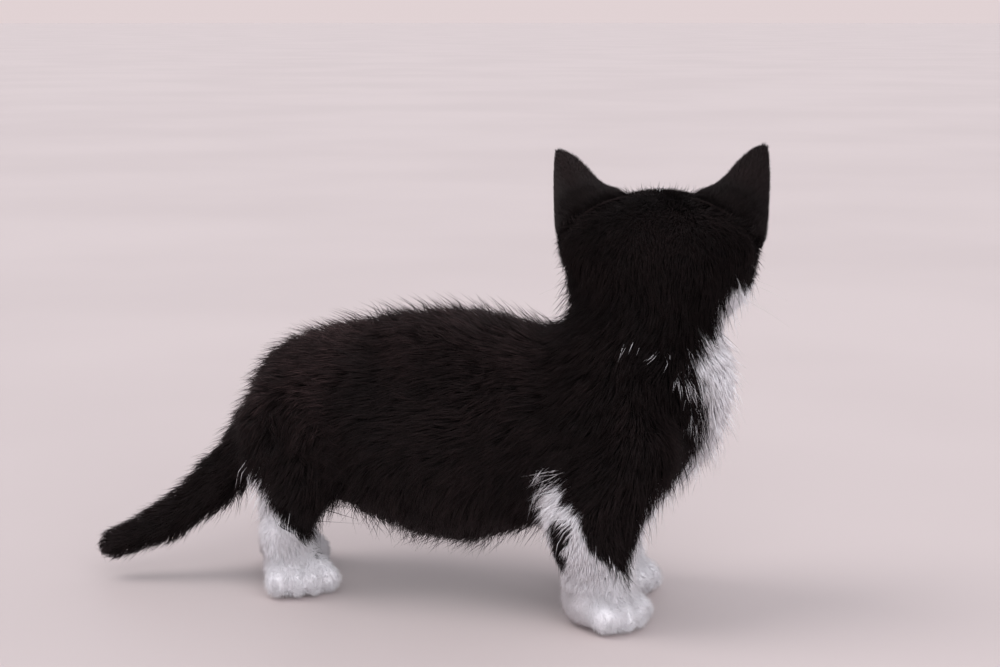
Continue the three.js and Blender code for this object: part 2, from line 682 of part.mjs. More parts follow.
// The wedge between the lids: from the middle of the eye out through the edge of the opening
function lidOpening(side) {
  const outward = radians(EYE.outward) * side;
  const tilt = radians(LIDS.tilt) * side;
  const positions = [0, 0, 0];
  const edge = [];
  const reach = EYE.radius + LIDS.reach;
  for (let n = 0; n < LIDS.points; n++) {
    const round = (n / LIDS.points) * 2 * Math.PI;
    const wide = Math.cos(round);
    const tall = Math.sin(round);
    const corner = 1 - LIDS.corner * Math.abs(Math.sin(2 * round));
    const high = (tall > 0 ? LIDS.upper : LIDS.lower) * tall * corner;
    const across = LIDS.wide * wide;
    const x = across * Math.cos(tilt) - high * Math.sin(tilt);
    const y = high * Math.cos(tilt) + across * Math.sin(tilt);
    const off = radians(Math.hypot(x, y));
    const scale = Math.hypot(x, y) || 1;
    const direction = v3(Math.cos(off), (Math.sin(off) * x) / scale, (Math.sin(off) * y) / scale);
    edge.push(direction.multiplyScalar(reach).applyAxisAngle(v3(0, 0, 1), outward));
  }
  const out = v3(EYE.radius, 0, 0).applyAxisAngle(v3(0, 0, 1), outward);
  for (const p of edge) positions.push(...p.toArray());
  for (const p of edge) positions.push(...p.clone().add(out).toArray());
  positions.push(...out.clone().multiplyScalar(2.4).toArray());
  const triangles = [];
  const ring = LIDS.points;
  for (let n = 1; n <= ring; n++) {
    const next = (n % ring) + 1;
    triangles.push(0, next, n, n, next, ring + next, n, ring + next, ring + n);
    triangles.push(2 * ring + 1, ring + n, ring + next);
  }
  const geometry = new THREE.BufferGeometry();
  geometry.setAttribute("position", new THREE.Float32BufferAttribute(positions, 3));
  geometry.setIndex(triangles);
  return headSolid(geometry, eyeCentre(side));
}

// A closed rod of round section along a list of head points
function rod(points, radius, rings = 7, sides = 6) {
  const curve = new THREE.CatmullRomCurve3(points.map((p) => fromHead(...p)));
  const frames = curve.computeFrenetFrames(rings, false);
  const positions = [];
  const triangles = [];
  for (let i = 0; i <= rings; i++) {
    const t = i / rings;
    const centre = curve.getPointAt(t);
    const r = radius(t);
    for (let j = 0; j < sides; j++) {
      const angle = (j / sides) * 2 * Math.PI;
      const p = centre
        .clone()
        .addScaledVector(frames.normals[i], r * Math.cos(angle))
        .addScaledVector(frames.binormals[i], r * Math.sin(angle));
      positions.push(...p.toArray());
    }
  }
  const from = positions.length / 3;
  positions.push(...curve.getPointAt(0).toArray(), ...curve.getPointAt(1).toArray());
  for (let j = 0; j < sides; j++) {
    const k = (j + 1) % sides;
    for (let i = 0; i < rings; i++) {
      const a = i * sides;
      const b = a + sides;
      triangles.push(a + j, a + k, b + k, a + j, b + k, b + j);
    }
    triangles.push(from, k, j, from + 1, rings * sides + j, rings * sides + k);
  }
  return solidOf(positions, triangles);
}

// Nose leather: a small rounded wedge, wider above than below
const noseShape = (grow) => {
  const geometry = new THREE.SphereGeometry(1, 14, 10);
  const position = geometry.attributes.position;
  for (let n = 0; n < position.count; n++) {
    const up = position.getZ(n);
    const [deep, wide, tall] = NOSE.radii;
    const narrowed = wide * (up > 0 ? 1 : 1 + NOSE.narrowing * up);
    position.setXYZ(
      n,
      position.getX(n) * (deep + grow),
      position.getY(n) * (narrowed + grow),
      up * (tall + grow),
    );
  }
  return headSolid(geometry, NOSE.at);
};

// An ear: a thin cup from a curved root in the skull to a rounded tip
const EAR_ROOTS = [EAR.inner, EAR.back, EAR.outer].map((p) => v3(...p));
const EAR_SWELLS = [EAR.innerSwell, EAR.backSwell, EAR.outerSwell].map((p) => v3(...p));
const EAR_WAVE = v3(...EAR.innerWave);

function weighed(points, shares) {
  return points.reduce((sum, point, n) => sum.addScaledVector(point, shares[n]), v3(0, 0, 0));
}

function earPoint(tip, s, t) {
  const root = weighed(EAR_ROOTS, [(1 - t) ** 2, 2 * t * (1 - t), t ** 2]);
  const edge = Math.sin(Math.PI * Math.min(s, 1));
  const swell = weighed(EAR_SWELLS, [edge * (1 - t) ** 2, edge * 4 * t * (1 - t), edge * t ** 2]);
  swell.addScaledVector(EAR_WAVE, Math.sin(2 * Math.PI * Math.min(s, 1)) * (1 - t) ** 2);
  return root.lerp(tip, s).add(swell);
}

function earSolid(side, grow) {
  const { rows, columns } = EAR;
  const tip = v3(...(side > 0 ? EAR.tip.left : EAR.tip.right));
  const positions = [];
  const step = 1e-3;
  for (const layer of [0, 1])
    for (let i = 0; i <= rows; i++)
      for (let j = 0; j <= columns; j++) {
        const s = EAR.root - grow * 0.02 + (EAR.end + grow * 0.02 - EAR.root) * (i / rows);
        const t = -grow * 0.015 + (1 + grow * 0.03) * (j / columns);
        const p = earPoint(tip, s, t);
        const across = earPoint(tip, s, t + step).sub(earPoint(tip, s, t - step));
        const along = earPoint(tip, s + step, t).sub(earPoint(tip, s - step, t));
        const inward = along.cross(across).normalize();
        const rim = Math.sin(Math.PI * THREE.MathUtils.clamp(t, 0.02, 0.98)) ** 0.4;
        const full = THREE.MathUtils.lerp(EAR.thickRoot, EAR.thickTip, Math.max(0, s));
        const thick = full * (EAR.rim + (1 - EAR.rim) * rim);
        p.addScaledVector(inward, layer ? thick + grow : -grow);
        p.y *= side;
        positions.push(...fromHead(p.x, p.y, p.z).toArray());
      }
  const across = columns + 1;
  const layer = (rows + 1) * across;
  const triangles = [];
  const face = (a, b, c, d) => {
    if (side > 0) triangles.push(a, b, c, a, c, d);
    else triangles.push(a, c, b, a, d, c);
  };
  for (let i = 0; i < rows; i++)
    for (let j = 0; j < columns; j++) {
      const a = i * across + j;
      face(a, a + 1, a + 1 + across, a + across);
      face(layer + a, layer + a + across, layer + a + 1 + across, layer + a + 1);
    }
  for (let i = 0; i < rows; i++) {
    const a = i * across;
    const b = a + columns;
    face(a, a + across, layer + a + across, layer + a);
    face(b, layer + b, layer + b + across, b + across);
  }
  for (let j = 0; j < columns; j++) {
    const a = j;
    const b = rows * across + j;
    face(a, layer + a, layer + a + 1, a + 1);
    face(b, b + 1, layer + b + 1, layer + b);
  }
  return solidOf(positions, triangles);
}

// Building the nodes
const solids = {};

const cutOut = (name, net) => largest(net.intersect(REGIONS[name](-GAP / 2)).intersect(ABOVE_FLOOR));

let torso = netOf(WHOLE, gridOf(GRID.torso), TRIANGLES.torso);
for (const regionOf of Object.values(REGIONS)) torso = torso.subtract(regionOf(GAP / 2));
solids.torso = largest(torso);
solids.neck = cutOut("neck", netOf(WHOLE, gridOf(GRID.neck), TRIANGLES.neck));

let head = netOf(WHOLE, headGrid, TRIANGLES.head, toWorld).intersect(REGIONS.head(-GAP / 2));
for (const side of [1, -1]) {
  head = head.add(eyeBall(side, EYE.radius + LIDS.thick, 24, 16));
}
for (const side of [1, -1]) {
  head = head
    .subtract(eyeBall(side, EYE.radius + GAP))
    .subtract(lidOpening(side))
    .subtract(earSolid(side, GAP));
}
head = head.subtract(noseShape(GAP));
for (const line of MOUTH.lines) {
  for (const side of line.both ? [1, -1] : [1]) {
    const points = line.points.map(([a, l, u]) => [a, l * side, u]);
    head = head.subtract(rod(points, (t) => MOUTH.radius * (1 - MOUTH.end * t * t)));
  }
}
solids.head = largest(head);
for (const [name, side] of Object.entries(SIDES)) {
  solids[`eye_${name}`] = eyeBall(side, EYE.radius);
  solids[`ear_${name}`] = largest(earSolid(side, 0));
}
let nose = noseShape(0);
for (const side of [1, -1]) {
  const hole = new THREE.SphereGeometry(1, 8, 6).scale(...NOSE.nostril);
  nose = nose.subtract(
    headSolid(hole, [NOSE.nostrilAt[0], NOSE.nostrilAt[1] * side, NOSE.nostrilAt[2]]),
  );
}
solids.nose = largest(nose);

for (const name of ["tail_base", "tail_middle", "tail_tip"])
  solids[name] = cutOut(name, netOf(WHOLE, gridOf(GRID.tail), TRIANGLES.tail));

for (const [name, side] of Object.entries(SIDES)) {
  const nets = {
    foreleg: gridOf(GRID.foreleg, side),
    forearm: gridOf(GRID.forearm, side),
    forepaw: gridOf(GRID.paw, 1, FORELEG[name].paw),
    thigh: gridOf(GRID.thigh, side),
    shank: gridOf(GRID.shank, side),
    hindpaw: gridOf(GRID.paw, 1, HINDLEG[name].paw),
  };
  for (const [part, lines] of Object.entries(nets))
    solids[`${part}_${name}`] = cutOut(`${part}_${name}`, netOf(WHOLE, lines, TRIANGLES[part]));
}

// Materials and the group, with its origin under the middle of the whole on the floor
const finish = {
  black: { color: COLOUR.black, roughness: 0.85, metalness: 0 },
  white: { color: COLOUR.white, roughness: 0.85, metalness: 0 },
  ear: { color: COLOUR.black, roughness: 0.8, metalness: 0 },
  eye: { color: COLOUR.eye, roughness: 0.08, metalness: 0 },
  nose: { color: COLOUR.nose, roughness: 0.5, metalness: 0 },
};
const finishOf = (name) => {
  if (name.startsWith("eye")) return finish.eye;
  if (name.startsWith("ear")) return finish.ear;
  if (name === "nose") return finish.nose;
  return /paw|forearm/.test(name) ? finish.white : finish.black;
};

const bounds = new THREE.Box3();
for (const solid of Object.values(solids)) {
  const { min, max } = solid.boundingBox();
  bounds.expandByPoint(v3(...min)).expandByPoint(v3(...max));
}
const middle = bounds.getCenter(v3(0, 0, 0));

const kitten = new THREE.Group();
kitten.name = "munchkin_kitten";
for (const [name, solid] of Object.entries(solids)) {
  const { vertProperties, triVerts, numProp } = solid.getMesh();
  const points = new Float32Array(vertProperties.length);
  for (let n = 0; n < vertProperties.length; n += numProp) {
    points[n] = vertProperties[n] - middle.x;
    points[n + 1] = vertProperties[n + 1] - middle.y;
    points[n + 2] = vertProperties[n + 2] - bounds.min.z;
  }
  const geometry = new THREE.BufferGeometry();
  geometry.setAttribute("position", new THREE.BufferAttribute(points, 3));
  geometry.setIndex(new THREE.BufferAttribute(new Uint32Array(triVerts), 1));
  geometry.computeVertexNormals();
  const mesh = new THREE.Mesh(geometry, new THREE.MeshStandardMaterial(finishOf(name)));
  mesh.name = name;
  kitten.add(mesh);
}

export default kitten;
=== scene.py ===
import math

import bpy
import numpy as np
from mathutils import Matrix, Vector


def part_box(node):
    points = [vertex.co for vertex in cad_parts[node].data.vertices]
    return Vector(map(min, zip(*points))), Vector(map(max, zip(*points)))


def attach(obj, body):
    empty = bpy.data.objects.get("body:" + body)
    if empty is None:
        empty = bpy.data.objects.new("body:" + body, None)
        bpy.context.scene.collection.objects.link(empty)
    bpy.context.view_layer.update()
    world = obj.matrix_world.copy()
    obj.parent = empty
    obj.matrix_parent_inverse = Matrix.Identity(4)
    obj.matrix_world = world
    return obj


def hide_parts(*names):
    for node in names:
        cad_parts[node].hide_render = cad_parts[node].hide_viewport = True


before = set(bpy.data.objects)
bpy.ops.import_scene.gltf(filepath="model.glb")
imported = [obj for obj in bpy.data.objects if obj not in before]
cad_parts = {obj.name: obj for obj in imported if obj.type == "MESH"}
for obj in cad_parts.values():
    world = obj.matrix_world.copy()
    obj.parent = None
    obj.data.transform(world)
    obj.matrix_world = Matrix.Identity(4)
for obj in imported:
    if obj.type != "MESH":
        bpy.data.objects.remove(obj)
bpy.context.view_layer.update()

# A munchkin kitten of about nine weeks, standing still and looking away over its left side.
# It faces -Y, its left side is +X and the floor is at z = 0. Points are rows of x, y and z, in millimetres.

SIDES = (("right", -1), ("left", 1))
MIRROR = (1, -1, 1)
TINY, FAR = 1e-9, 1e9
LEAST_SLOPE = 0.1


def size_of(v):
    return np.sqrt((v * v).sum(-1))


def unit(v):
    return v / np.maximum(size_of(v), TINY)[..., None]


def ramp(x, low, high):
    """0 below low, 1 above high, and smooth between them."""
    t = np.clip((x - low) / (high - low), 0, 1)
    return t * t * (3 - 2 * t)


def mix(a, b, share):
    return a + (b - a) * share


# Forms as distance fields, negative inside

def ellipsoid(p, centre, radii):
    q = (p - np.array(centre)) / np.array(radii)
    near = size_of(q)
    slope = size_of(q / np.array(radii))
    return np.where(slope < TINY, -min(radii), near * (near - 1) / np.maximum(slope, TINY))


def taper(p, start, end, radius_start, radius_end):
    """A limb length that tapers from one radius to another."""
    start, along = np.array(start, float), np.subtract(end, start)
    t = np.clip((p - start) @ along / (along @ along), 0, 1)
    return size_of(p - start - t[:, None] * along) - mix(radius_start, radius_end, t)


def along_line(p, points):
    """Distance to a bent line."""
    points = np.array(points, float)
    steps = [taper(p, points[i], points[i + 1], 0, 0) for i in range(len(points) - 1)]
    return np.minimum.reduce(steps)


def melt(soft, *fields):
    """Forms that flow into each other over a width of about soft."""
    joined = fields[0]
    for field in fields[1:]:
        h = np.maximum(soft - np.abs(joined - field), 0) / soft
        joined = np.minimum(joined, field) - h * h * soft / 4
    return joined


def carve(soft, form, tool):
    """A form with a tool's shape taken out of it, leaving a rounded rim."""
    return -melt(soft, -form, tool)


# Sizes of the body, out to the tips of its coat

TRUNK = (
    ((0, -38, 63.5), (30, 41, 34)),
    ((0, 3, 59.5), (34, 48, 42)),
    ((0, 31, 61.5), (28.5, 31.5, 35)),
    ((0, 55, 64), (26, 25, 27)),
    ((3, -69, 78.5), (20, 25, 22)),
    ((4, -65, 62), (17, 21, 19)),
)
NECK = dict(base=(0, -58, 86), top=(4, -65, 107), radius_base=27, radius_top=25.5)
SHOULDER = ((21, -56, 61), (14, 22, 28))
HAUNCH = ((18, 56, 53), (17, 21.5, 26))
FORELEG = {
    "right": dict(top=(-24, -66, 58), bend=(-25, -51.5, 36), end=(-23, -53, 16), paw=(-23, -53), toe_out=22),
    "left": dict(top=(24, -62, 58), bend=(25, -43, 36), end=(21, -44.5, 16), paw=(19.5, -46), toe_out=16),
}
HINDLEG = {
    "right": dict(top=(-17, 58, 58), bend=(-22, 53, 38), end=(-18, 60.5, 22), paw=(-16, 57.5), toe_out=50),
    "left": dict(top=(17, 57, 58), bend=(20, 58, 40), end=(19, 77.5, 22), paw=(18, 75), toe_out=42),
}
# Radii at both ends of the upper leg, the lower leg and the ankle
FORE_RADII = (15, 16.2, 16.2, 10.4, 10.4, 9.2)
HIND_RADII = (18, 9.6, 9.6, 7.9, 7.9, 8.4)
PAW_BACK = {"fore": 0, "hind": 2}
TOE_REACH = {"fore": 1, "hind": 0.74}
PAW_LENGTH = {"fore": 13, "hind": 10.8}
PAW = dict(
    middle=(0, -0.5, 7.8), width=11.3, height=9.2, ankle_height=8,
    toe_radius=5.1, reach=(9.4, 12.4, 12.4, 9.4), side=(-8.6, -3.3, 3.3, 8.6), lift=5.5, toe_soft=1.2,
    groove=1.0, groove_soft=1.2, groove_sides=(-6.1, 0, 6.1), groove_reach=(11.6, 13.6, 11.6),
)
TAIL = ((0, 60, 62), (-1, 78, 50), (-6, 93.5, 32.5), (-13, 109, 20.3), (-20, 125.5, 12.6))
TAIL_RADII = (14, 12, 10, 8, 6.2)

HEAD_CENTRE = np.array((8, -64.8, 117.5))
HEAD_TURN, HEAD_LIFT = math.radians(99), math.radians(3)
AHEAD = np.array((
    math.sin(HEAD_TURN) * math.cos(HEAD_LIFT),
    -math.cos(HEAD_TURN) * math.cos(HEAD_LIFT),
    math.sin(HEAD_LIFT),
))
LEFTWARD = np.array((math.cos(HEAD_TURN), math.sin(HEAD_TURN), 0))
UPWARD = np.cross(AHEAD, LEFTWARD)
HEAD_AXES = np.array((AHEAD, LEFTWARD, UPWARD))


def in_head(p):
    """Points as ahead, leftward and upward of the skull's centre."""
    return (p - HEAD_CENTRE) @ HEAD_AXES.T


def from_head(h):
    return np.asarray(h, float) @ HEAD_AXES + HEAD_CENTRE


EYE = dict(at=(17.4, 13.2, 0.6), radius=7.6, outward=math.radians(20), tilt=math.radians(8))


def skull(h):
    mirrored_h = h * MIRROR

    def both(centre, radii):
        return ellipsoid(h, centre, radii), ellipsoid(mirrored_h, centre, radii)

    cranium = melt(
        SOFT["cranium"],
        ellipsoid(h, (-5, 0, 3.5), (26.5, 30, 20.5)),
        *both((-4, 21, 8), (14, 13, 12.5)),
        *both((2, 19.2, -6), (16, 12.8, 12)),
        ellipsoid(h, (9, 0, 9), (14, 19, 12.5)),
        ellipsoid(h, (10, 0, -13), (15, 15, 8)),
    )
    brows = melt(SOFT["brow"], *both((11, 13, 1), (11.5, 12, 11)), *both((12, 14, -8), (11, 10, 8)))
    muzzle = melt(
        SOFT["muzzle"],
        ellipsoid(h, (20, 0, -8), (11, 13, 8.5)),
        taper(h, (19, 0, 4.5), (31, 0, -3.6), 6.4, 4.4),
        *both((27.6, 5, -9.6), (7.2, 6.6, 5.2)),
        ellipsoid(h, (25.6, 0, -16), (6.4, 6.4, 4.2)),
    )
    return melt(SOFT["muzzle_joint"], melt(SOFT["brow_joint"], cranium, brows), muzzle)


# How far forms melt into each other
SOFT = dict(
    trunk=14, muscle=10, flesh=9, limbs=6, legs=4, knee=6, ankle=4, tail=4, body=10, head=8,
    cranium=8, brow=5, muzzle=4, brow_joint=6, muzzle_joint=4.5,
)


def in_foot(p, leg):
    """Points as across, behind and above the middle of a paw."""
    turn = math.radians(leg["toe_out"]) * np.sign(leg["paw"][0])
    x, y = p[:, 0] - leg["paw"][0], p[:, 1] - leg["paw"][1]
    across = x * math.cos(turn) + y * math.sin(turn)
    behind = y * math.cos(turn) - x * math.sin(turn)
    return np.stack((across, behind, p[:, 2]), -1)


def paw_form(p, leg, kind):
    q = in_foot(p, leg)
    stretch, length = TOE_REACH[kind], PAW_LENGTH[kind]
    thick = PAW["toe_radius"]
    toes = [
        taper(q, (0.75 * side, -3, 8.4), (side, -reach * stretch, PAW["lift"]), thick, thick)
        for side, reach in zip(PAW["side"], PAW["reach"])
    ]
    form = melt(PAW["toe_soft"], ellipsoid(q, PAW["middle"], (PAW["width"], length, PAW["height"])), *toes)
    for side, reach in zip(PAW["groove_sides"], PAW["groove_reach"]):
        front = reach * stretch
        line = (
            (0.8 * side, -0.5 * length, 16.5), (0.92 * side, -0.86 * length, 12.5),
            (side, -front - 3.4, 7), (side, -front - 2.6, 0),
        )
        form = carve(PAW["groove_soft"], form, along_line(q, line) - PAW["groove"])
    return form


def leg_form(p, leg, radii, kind):
    x, y = leg["paw"]
    upper = taper(p, leg["top"], leg["bend"], *radii[:2])
    lower = taper(p, leg["bend"], leg["end"], *radii[2:4])
    ankle = taper(p, leg["end"], (x, y + PAW_BACK[kind], PAW["ankle_height"]), *radii[4:])
    return melt(SOFT["knee"], upper, lower, melt(SOFT["ankle"], ankle, paw_form(p, leg, kind)))


def mirrored(p, shape):
    """A form on each side of the middle plane."""
    centre, radii = shape
    return melt(SOFT["muscle"], *[ellipsoid(p, (side * centre[0], *centre[1:]), radii) for _, side in SIDES])


def tail_form(p, share=1):
    lengths = [
        taper(p, TAIL[i], TAIL[i + 1], TAIL_RADII[i] * share, TAIL_RADII[i + 1] * share)
        for i in range(len(TAIL) - 1)
    ]
    return melt(SOFT["tail"], *lengths)


# Depth of the coat over the skin, and the share of the tail's radius that is flesh
DEPTH = dict(trunk=7, shoulder=6.5, haunch=6.5, neck=6, tail_share=0.56)


def leg_depth(z):
    return 1.3 + 1.0 * ramp(z, 9, 18) + 2.9 * ramp(z, 20, 42) + 1.3 * ramp(z, 42, 58)


def head_depth(h):
    back = ramp(-h[:, 0], -16, 12)
    cheek = ramp(np.abs(h[:, 1]), 14, 24) * ramp(-h[:, 2], -8, 6) * ramp(-h[:, 0], -24, -10)
    throat = ramp(-h[:, 2], 12, 20) * ramp(-h[:, 0], -26, -14)
    crown = ramp(-h[:, 0], -22, -6)
    return 0.7 + 0.9 * crown + 1.6 * back + 1.6 * cheek + 1.6 * throat


def masses(p, inner):
    """The body's masses out to the coat's tips, or with inner 1 out to the skin."""
    h = in_head(p)
    z = p[:, 2]
    neck = taper(p, NECK["base"], NECK["top"], NECK["radius_base"], NECK["radius_top"])
    fore = [leg_form(p, leg, FORE_RADII, "fore") for leg in FORELEG.values()]
    hind = [leg_form(p, leg, HIND_RADII, "hind") for leg in HINDLEG.values()]
    return dict(
        trunk=melt(SOFT["trunk"], *[ellipsoid(p, *shape) for shape in TRUNK]) + inner * DEPTH["trunk"],
        shoulder=mirrored(p, SHOULDER) + inner * DEPTH["shoulder"],
        haunch=mirrored(p, HAUNCH) + inner * DEPTH["haunch"],
        neck=neck + inner * DEPTH["neck"],
        foreleg=melt(SOFT["legs"], *fore) + inner * leg_depth(z),
        hindleg=melt(SOFT["legs"], *hind) + inner * leg_depth(z),
        tail=tail_form(p, DEPTH["tail_share"] if inner else 1),
        head=skull(h) + inner * head_depth(h),
    )


def whole(mass):
    flesh = melt(
        SOFT["flesh"],
        mass["trunk"],
        melt(SOFT["muscle"], mass["shoulder"], mass["haunch"]),
        melt(SOFT["limbs"], mass["foreleg"], mass["hindleg"]),
    )
    return melt(SOFT["head"], melt(SOFT["body"], flesh, mass["neck"], mass["tail"]), mass["head"])


def outline(p):
    """Distance to the coat's outline."""
    return whole(masses(p, 0))


# The skin under the coat, with its lids, lips and toes

LIDS = dict(thick=0.8, soft=2.4, reach=9.2, wide=7.1, upper=5.5, lower=5.0, rim=0.4, clear_of_ball=0.08)
TEAR_DUCT = ((6.2, -7.1, -0.9), (1.6, 1.5, 0.75))
TEAR_DUCT_SOFT = 0.5
# Bent lines over the face before it is settled on them, and whether each has a twin on the other side
MOUTH = (
    (((35.6, 0, -7), (35.3, 0, -10), (33.2, 0, -13)), False),
    (((33.4, 0, -12.8), (32.6, 3.8, -14.6), (28.6, 8.4, -14.2), (23, 12, -13)), True),
)
LIP_GROOVE, LIP_SOFT = 0.55, 0.7
SOLE = 0.25


def in_eye(h, side):
    """Points as outward, across and upward of an eye's middle, across being away from the nose."""
    d = (h - np.array(EYE["at"]) * (1, side, 1)) * (1, side, 1)
    turn, tilt = EYE["outward"], EYE["tilt"]
    out = d[:, 0] * math.cos(turn) + d[:, 1] * math.sin(turn)
    across = d[:, 1] * math.cos(turn) - d[:, 0] * math.sin(turn)
    return np.stack((
        out,
        across * math.cos(tilt) + d[:, 2] * math.sin(tilt),
        d[:, 2] * math.cos(tilt) - across * math.sin(tilt),
    ), -1)


def from_eye(q, side):
    """Head points from points of the eye."""
    turn, tilt = EYE["outward"], EYE["tilt"]
    across = q[:, 1] * math.cos(tilt) - q[:, 2] * math.sin(tilt)
    up = q[:, 2] * math.cos(tilt) + q[:, 1] * math.sin(tilt)
    ahead = q[:, 0] * math.cos(turn) - across * math.sin(turn)
    left = across * math.cos(turn) + q[:, 0] * math.sin(turn)
    return np.stack((ahead, left, up), -1) * (1, side, 1) + np.array(EYE["at"]) * (1, side, 1)


def opening(q):
    """The gap between the lids, negative inside: rounded above, pointed at the nose's side."""
    stretch = np.maximum(LIDS["reach"] / np.maximum(size_of(q), 0.5), 1)
    across, up = q[:, 1] * stretch, q[:, 2] * stretch
    t = np.clip(across / LIDS["wide"], -1.2, 1.2)
    arch = np.maximum(1 - np.abs(t) ** 2.3, 0)
    high = LIDS["upper"] * arch ** 0.72
    low = LIDS["lower"] * arch ** 0.85
    past = np.maximum(np.abs(across) - LIDS["wide"], 0)
    return np.maximum(np.maximum(up - high, -up - low) * 0.9 + past, -q[:, 0])


def skin(p):
    form = whole(masses(p, 1))
    h = in_head(p)
    face = (h[:, 0] > 0) & (np.abs(h[:, 1]) < 30) & (h[:, 2] > -24) & (h[:, 2] < 16)
    if face.any():
        form[face] = with_features(form[face], h[face])
    return np.maximum(form, SOLE - p[:, 2])


def with_features(form, h):
    for _, side in SIDES:
        q = in_eye(h, side)
        form = melt(LIDS["soft"], form, size_of(q) - EYE["radius"] - LIDS["thick"])
        form = carve(LIDS["rim"], form, opening(q))
        form = np.maximum(form, EYE["radius"] + LIDS["clear_of_ball"] - size_of(q))
        form = carve(TEAR_DUCT_SOFT, form, ellipsoid(q, *TEAR_DUCT))
    for away in from_lips(h):
        form = carve(LIP_SOFT, form, away - LIP_GROOVE)
    return form


def from_lips(h):
    """The distance to each lip line in turn, on both sides where it has a twin."""
    for points, paired in LIP_LINES:
        for place in (h, h * MIRROR) if paired else (h,):
            yield along_line(place, points)


def settle(h, field, rounds=6):
    """Head points moved onto a field's surface along its slope."""
    h = np.array(h, float)
    for _ in range(rounds):
        h -= to_surface(field, h)
    return h


def to_surface(field, p):
    """The way that each point has to go back along the field's slope."""
    slope = slope_of(field, p)
    return slope * (field(p) / np.maximum((slope * slope).sum(-1), LEAST_SLOPE))[:, None]


def slope_of(field, p, step=0.06):
    slope = np.empty_like(p)
    for axis in range(3):
        shift = np.zeros(3)
        shift[axis] = step
        slope[:, axis] = (field(p + shift) - field(p - shift)) / (2 * step)
    return slope


def bare_face(h):
    return skull(h) + head_depth(h)


LIP_LINES = [(settle(points, bare_face), paired) for points, paired in MOUTH]


# A closed net over a field: one point in each cell that the surface crosses, moved onto it

BATCH = 150_000


def even_lines(start, *stretches):
    """Grid lines from stretches of even steps, given as an end and a step."""
    lines = [np.array([start], float)]
    for end, step in stretches:
        begin = lines[-1][-1]
        count = max(1, round((end - begin) / step))
        lines.append(np.linspace(begin, end, count + 1)[1:])
    return np.concatenate(lines)


def grid_points(lines, place, index):
    return place(np.stack([lines[axis][index[axis]] for axis in range(3)], -1))


def in_turns(field, p):
    return np.concatenate([field(p[i:i + BATCH]) for i in range(0, len(p), BATCH)])


def grid_values(field, lines, place, block=4, spare=3.0):
    """The field at the grid's corners, worked out only in blocks near the surface."""
    counts = [len(line) for line in lines]
    middles, halves = [], []
    for line in lines:
        starts = np.arange(0, len(line), block)
        ends = np.minimum(starts + block, len(line) - 1)
        middles.append((line[starts] + line[ends]) / 2)
        halves.append((line[ends] - line[starts]) / 2)
    index = np.indices([len(m) for m in middles]).reshape(3, -1)
    centre = in_turns(field, grid_points(middles, place, index))
    half = np.sqrt(sum(halves[axis][index[axis]] ** 2 for axis in range(3)))
    shape = [len(m) for m in middles]
    near = (np.abs(centre) < 1.5 * half + spare).reshape(shape)
    values = (np.sign(centre) * 1e3).reshape(shape)
    for axis in range(3):
        near = np.repeat(near, block, axis).take(range(counts[axis]), axis)
        values = np.repeat(values, block, axis).take(range(counts[axis]), axis)
    index = np.nonzero(near)
    values[index] = in_turns(field, grid_points(lines, place, index))
    return values


def fill_pinches(values):
    """Fills a corner wherever two pieces of the form would only touch along a line."""
    low, high, every = slice(0, -1), slice(1, None), slice(None)
    found = True
    while found:
        found = False
        for u, w in ((0, 1), (1, 2), (0, 2)):
            def corner(a, b):
                cut = [every] * 3
                cut[u], cut[w] = (low, high)[a], (low, high)[b]
                return tuple(cut)
            ring = [corner(0, 0), corner(1, 0), corner(1, 1), corner(0, 1)]
            a, b, c, d = [values[cut] < 0 for cut in ring]
            pinch = (a == c) & (b == d) & (a != b)
            if not pinch.any():
                continue
            found = True
            for first, second in ((0, 2), (1, 3)):
                empty = pinch & ~[a, b, c, d][first]
                nearer = empty & (values[ring[first]] < values[ring[second]])
                values[ring[first]][nearer] = -1e-3
                values[ring[second]][empty & ~nearer] = -1e-3


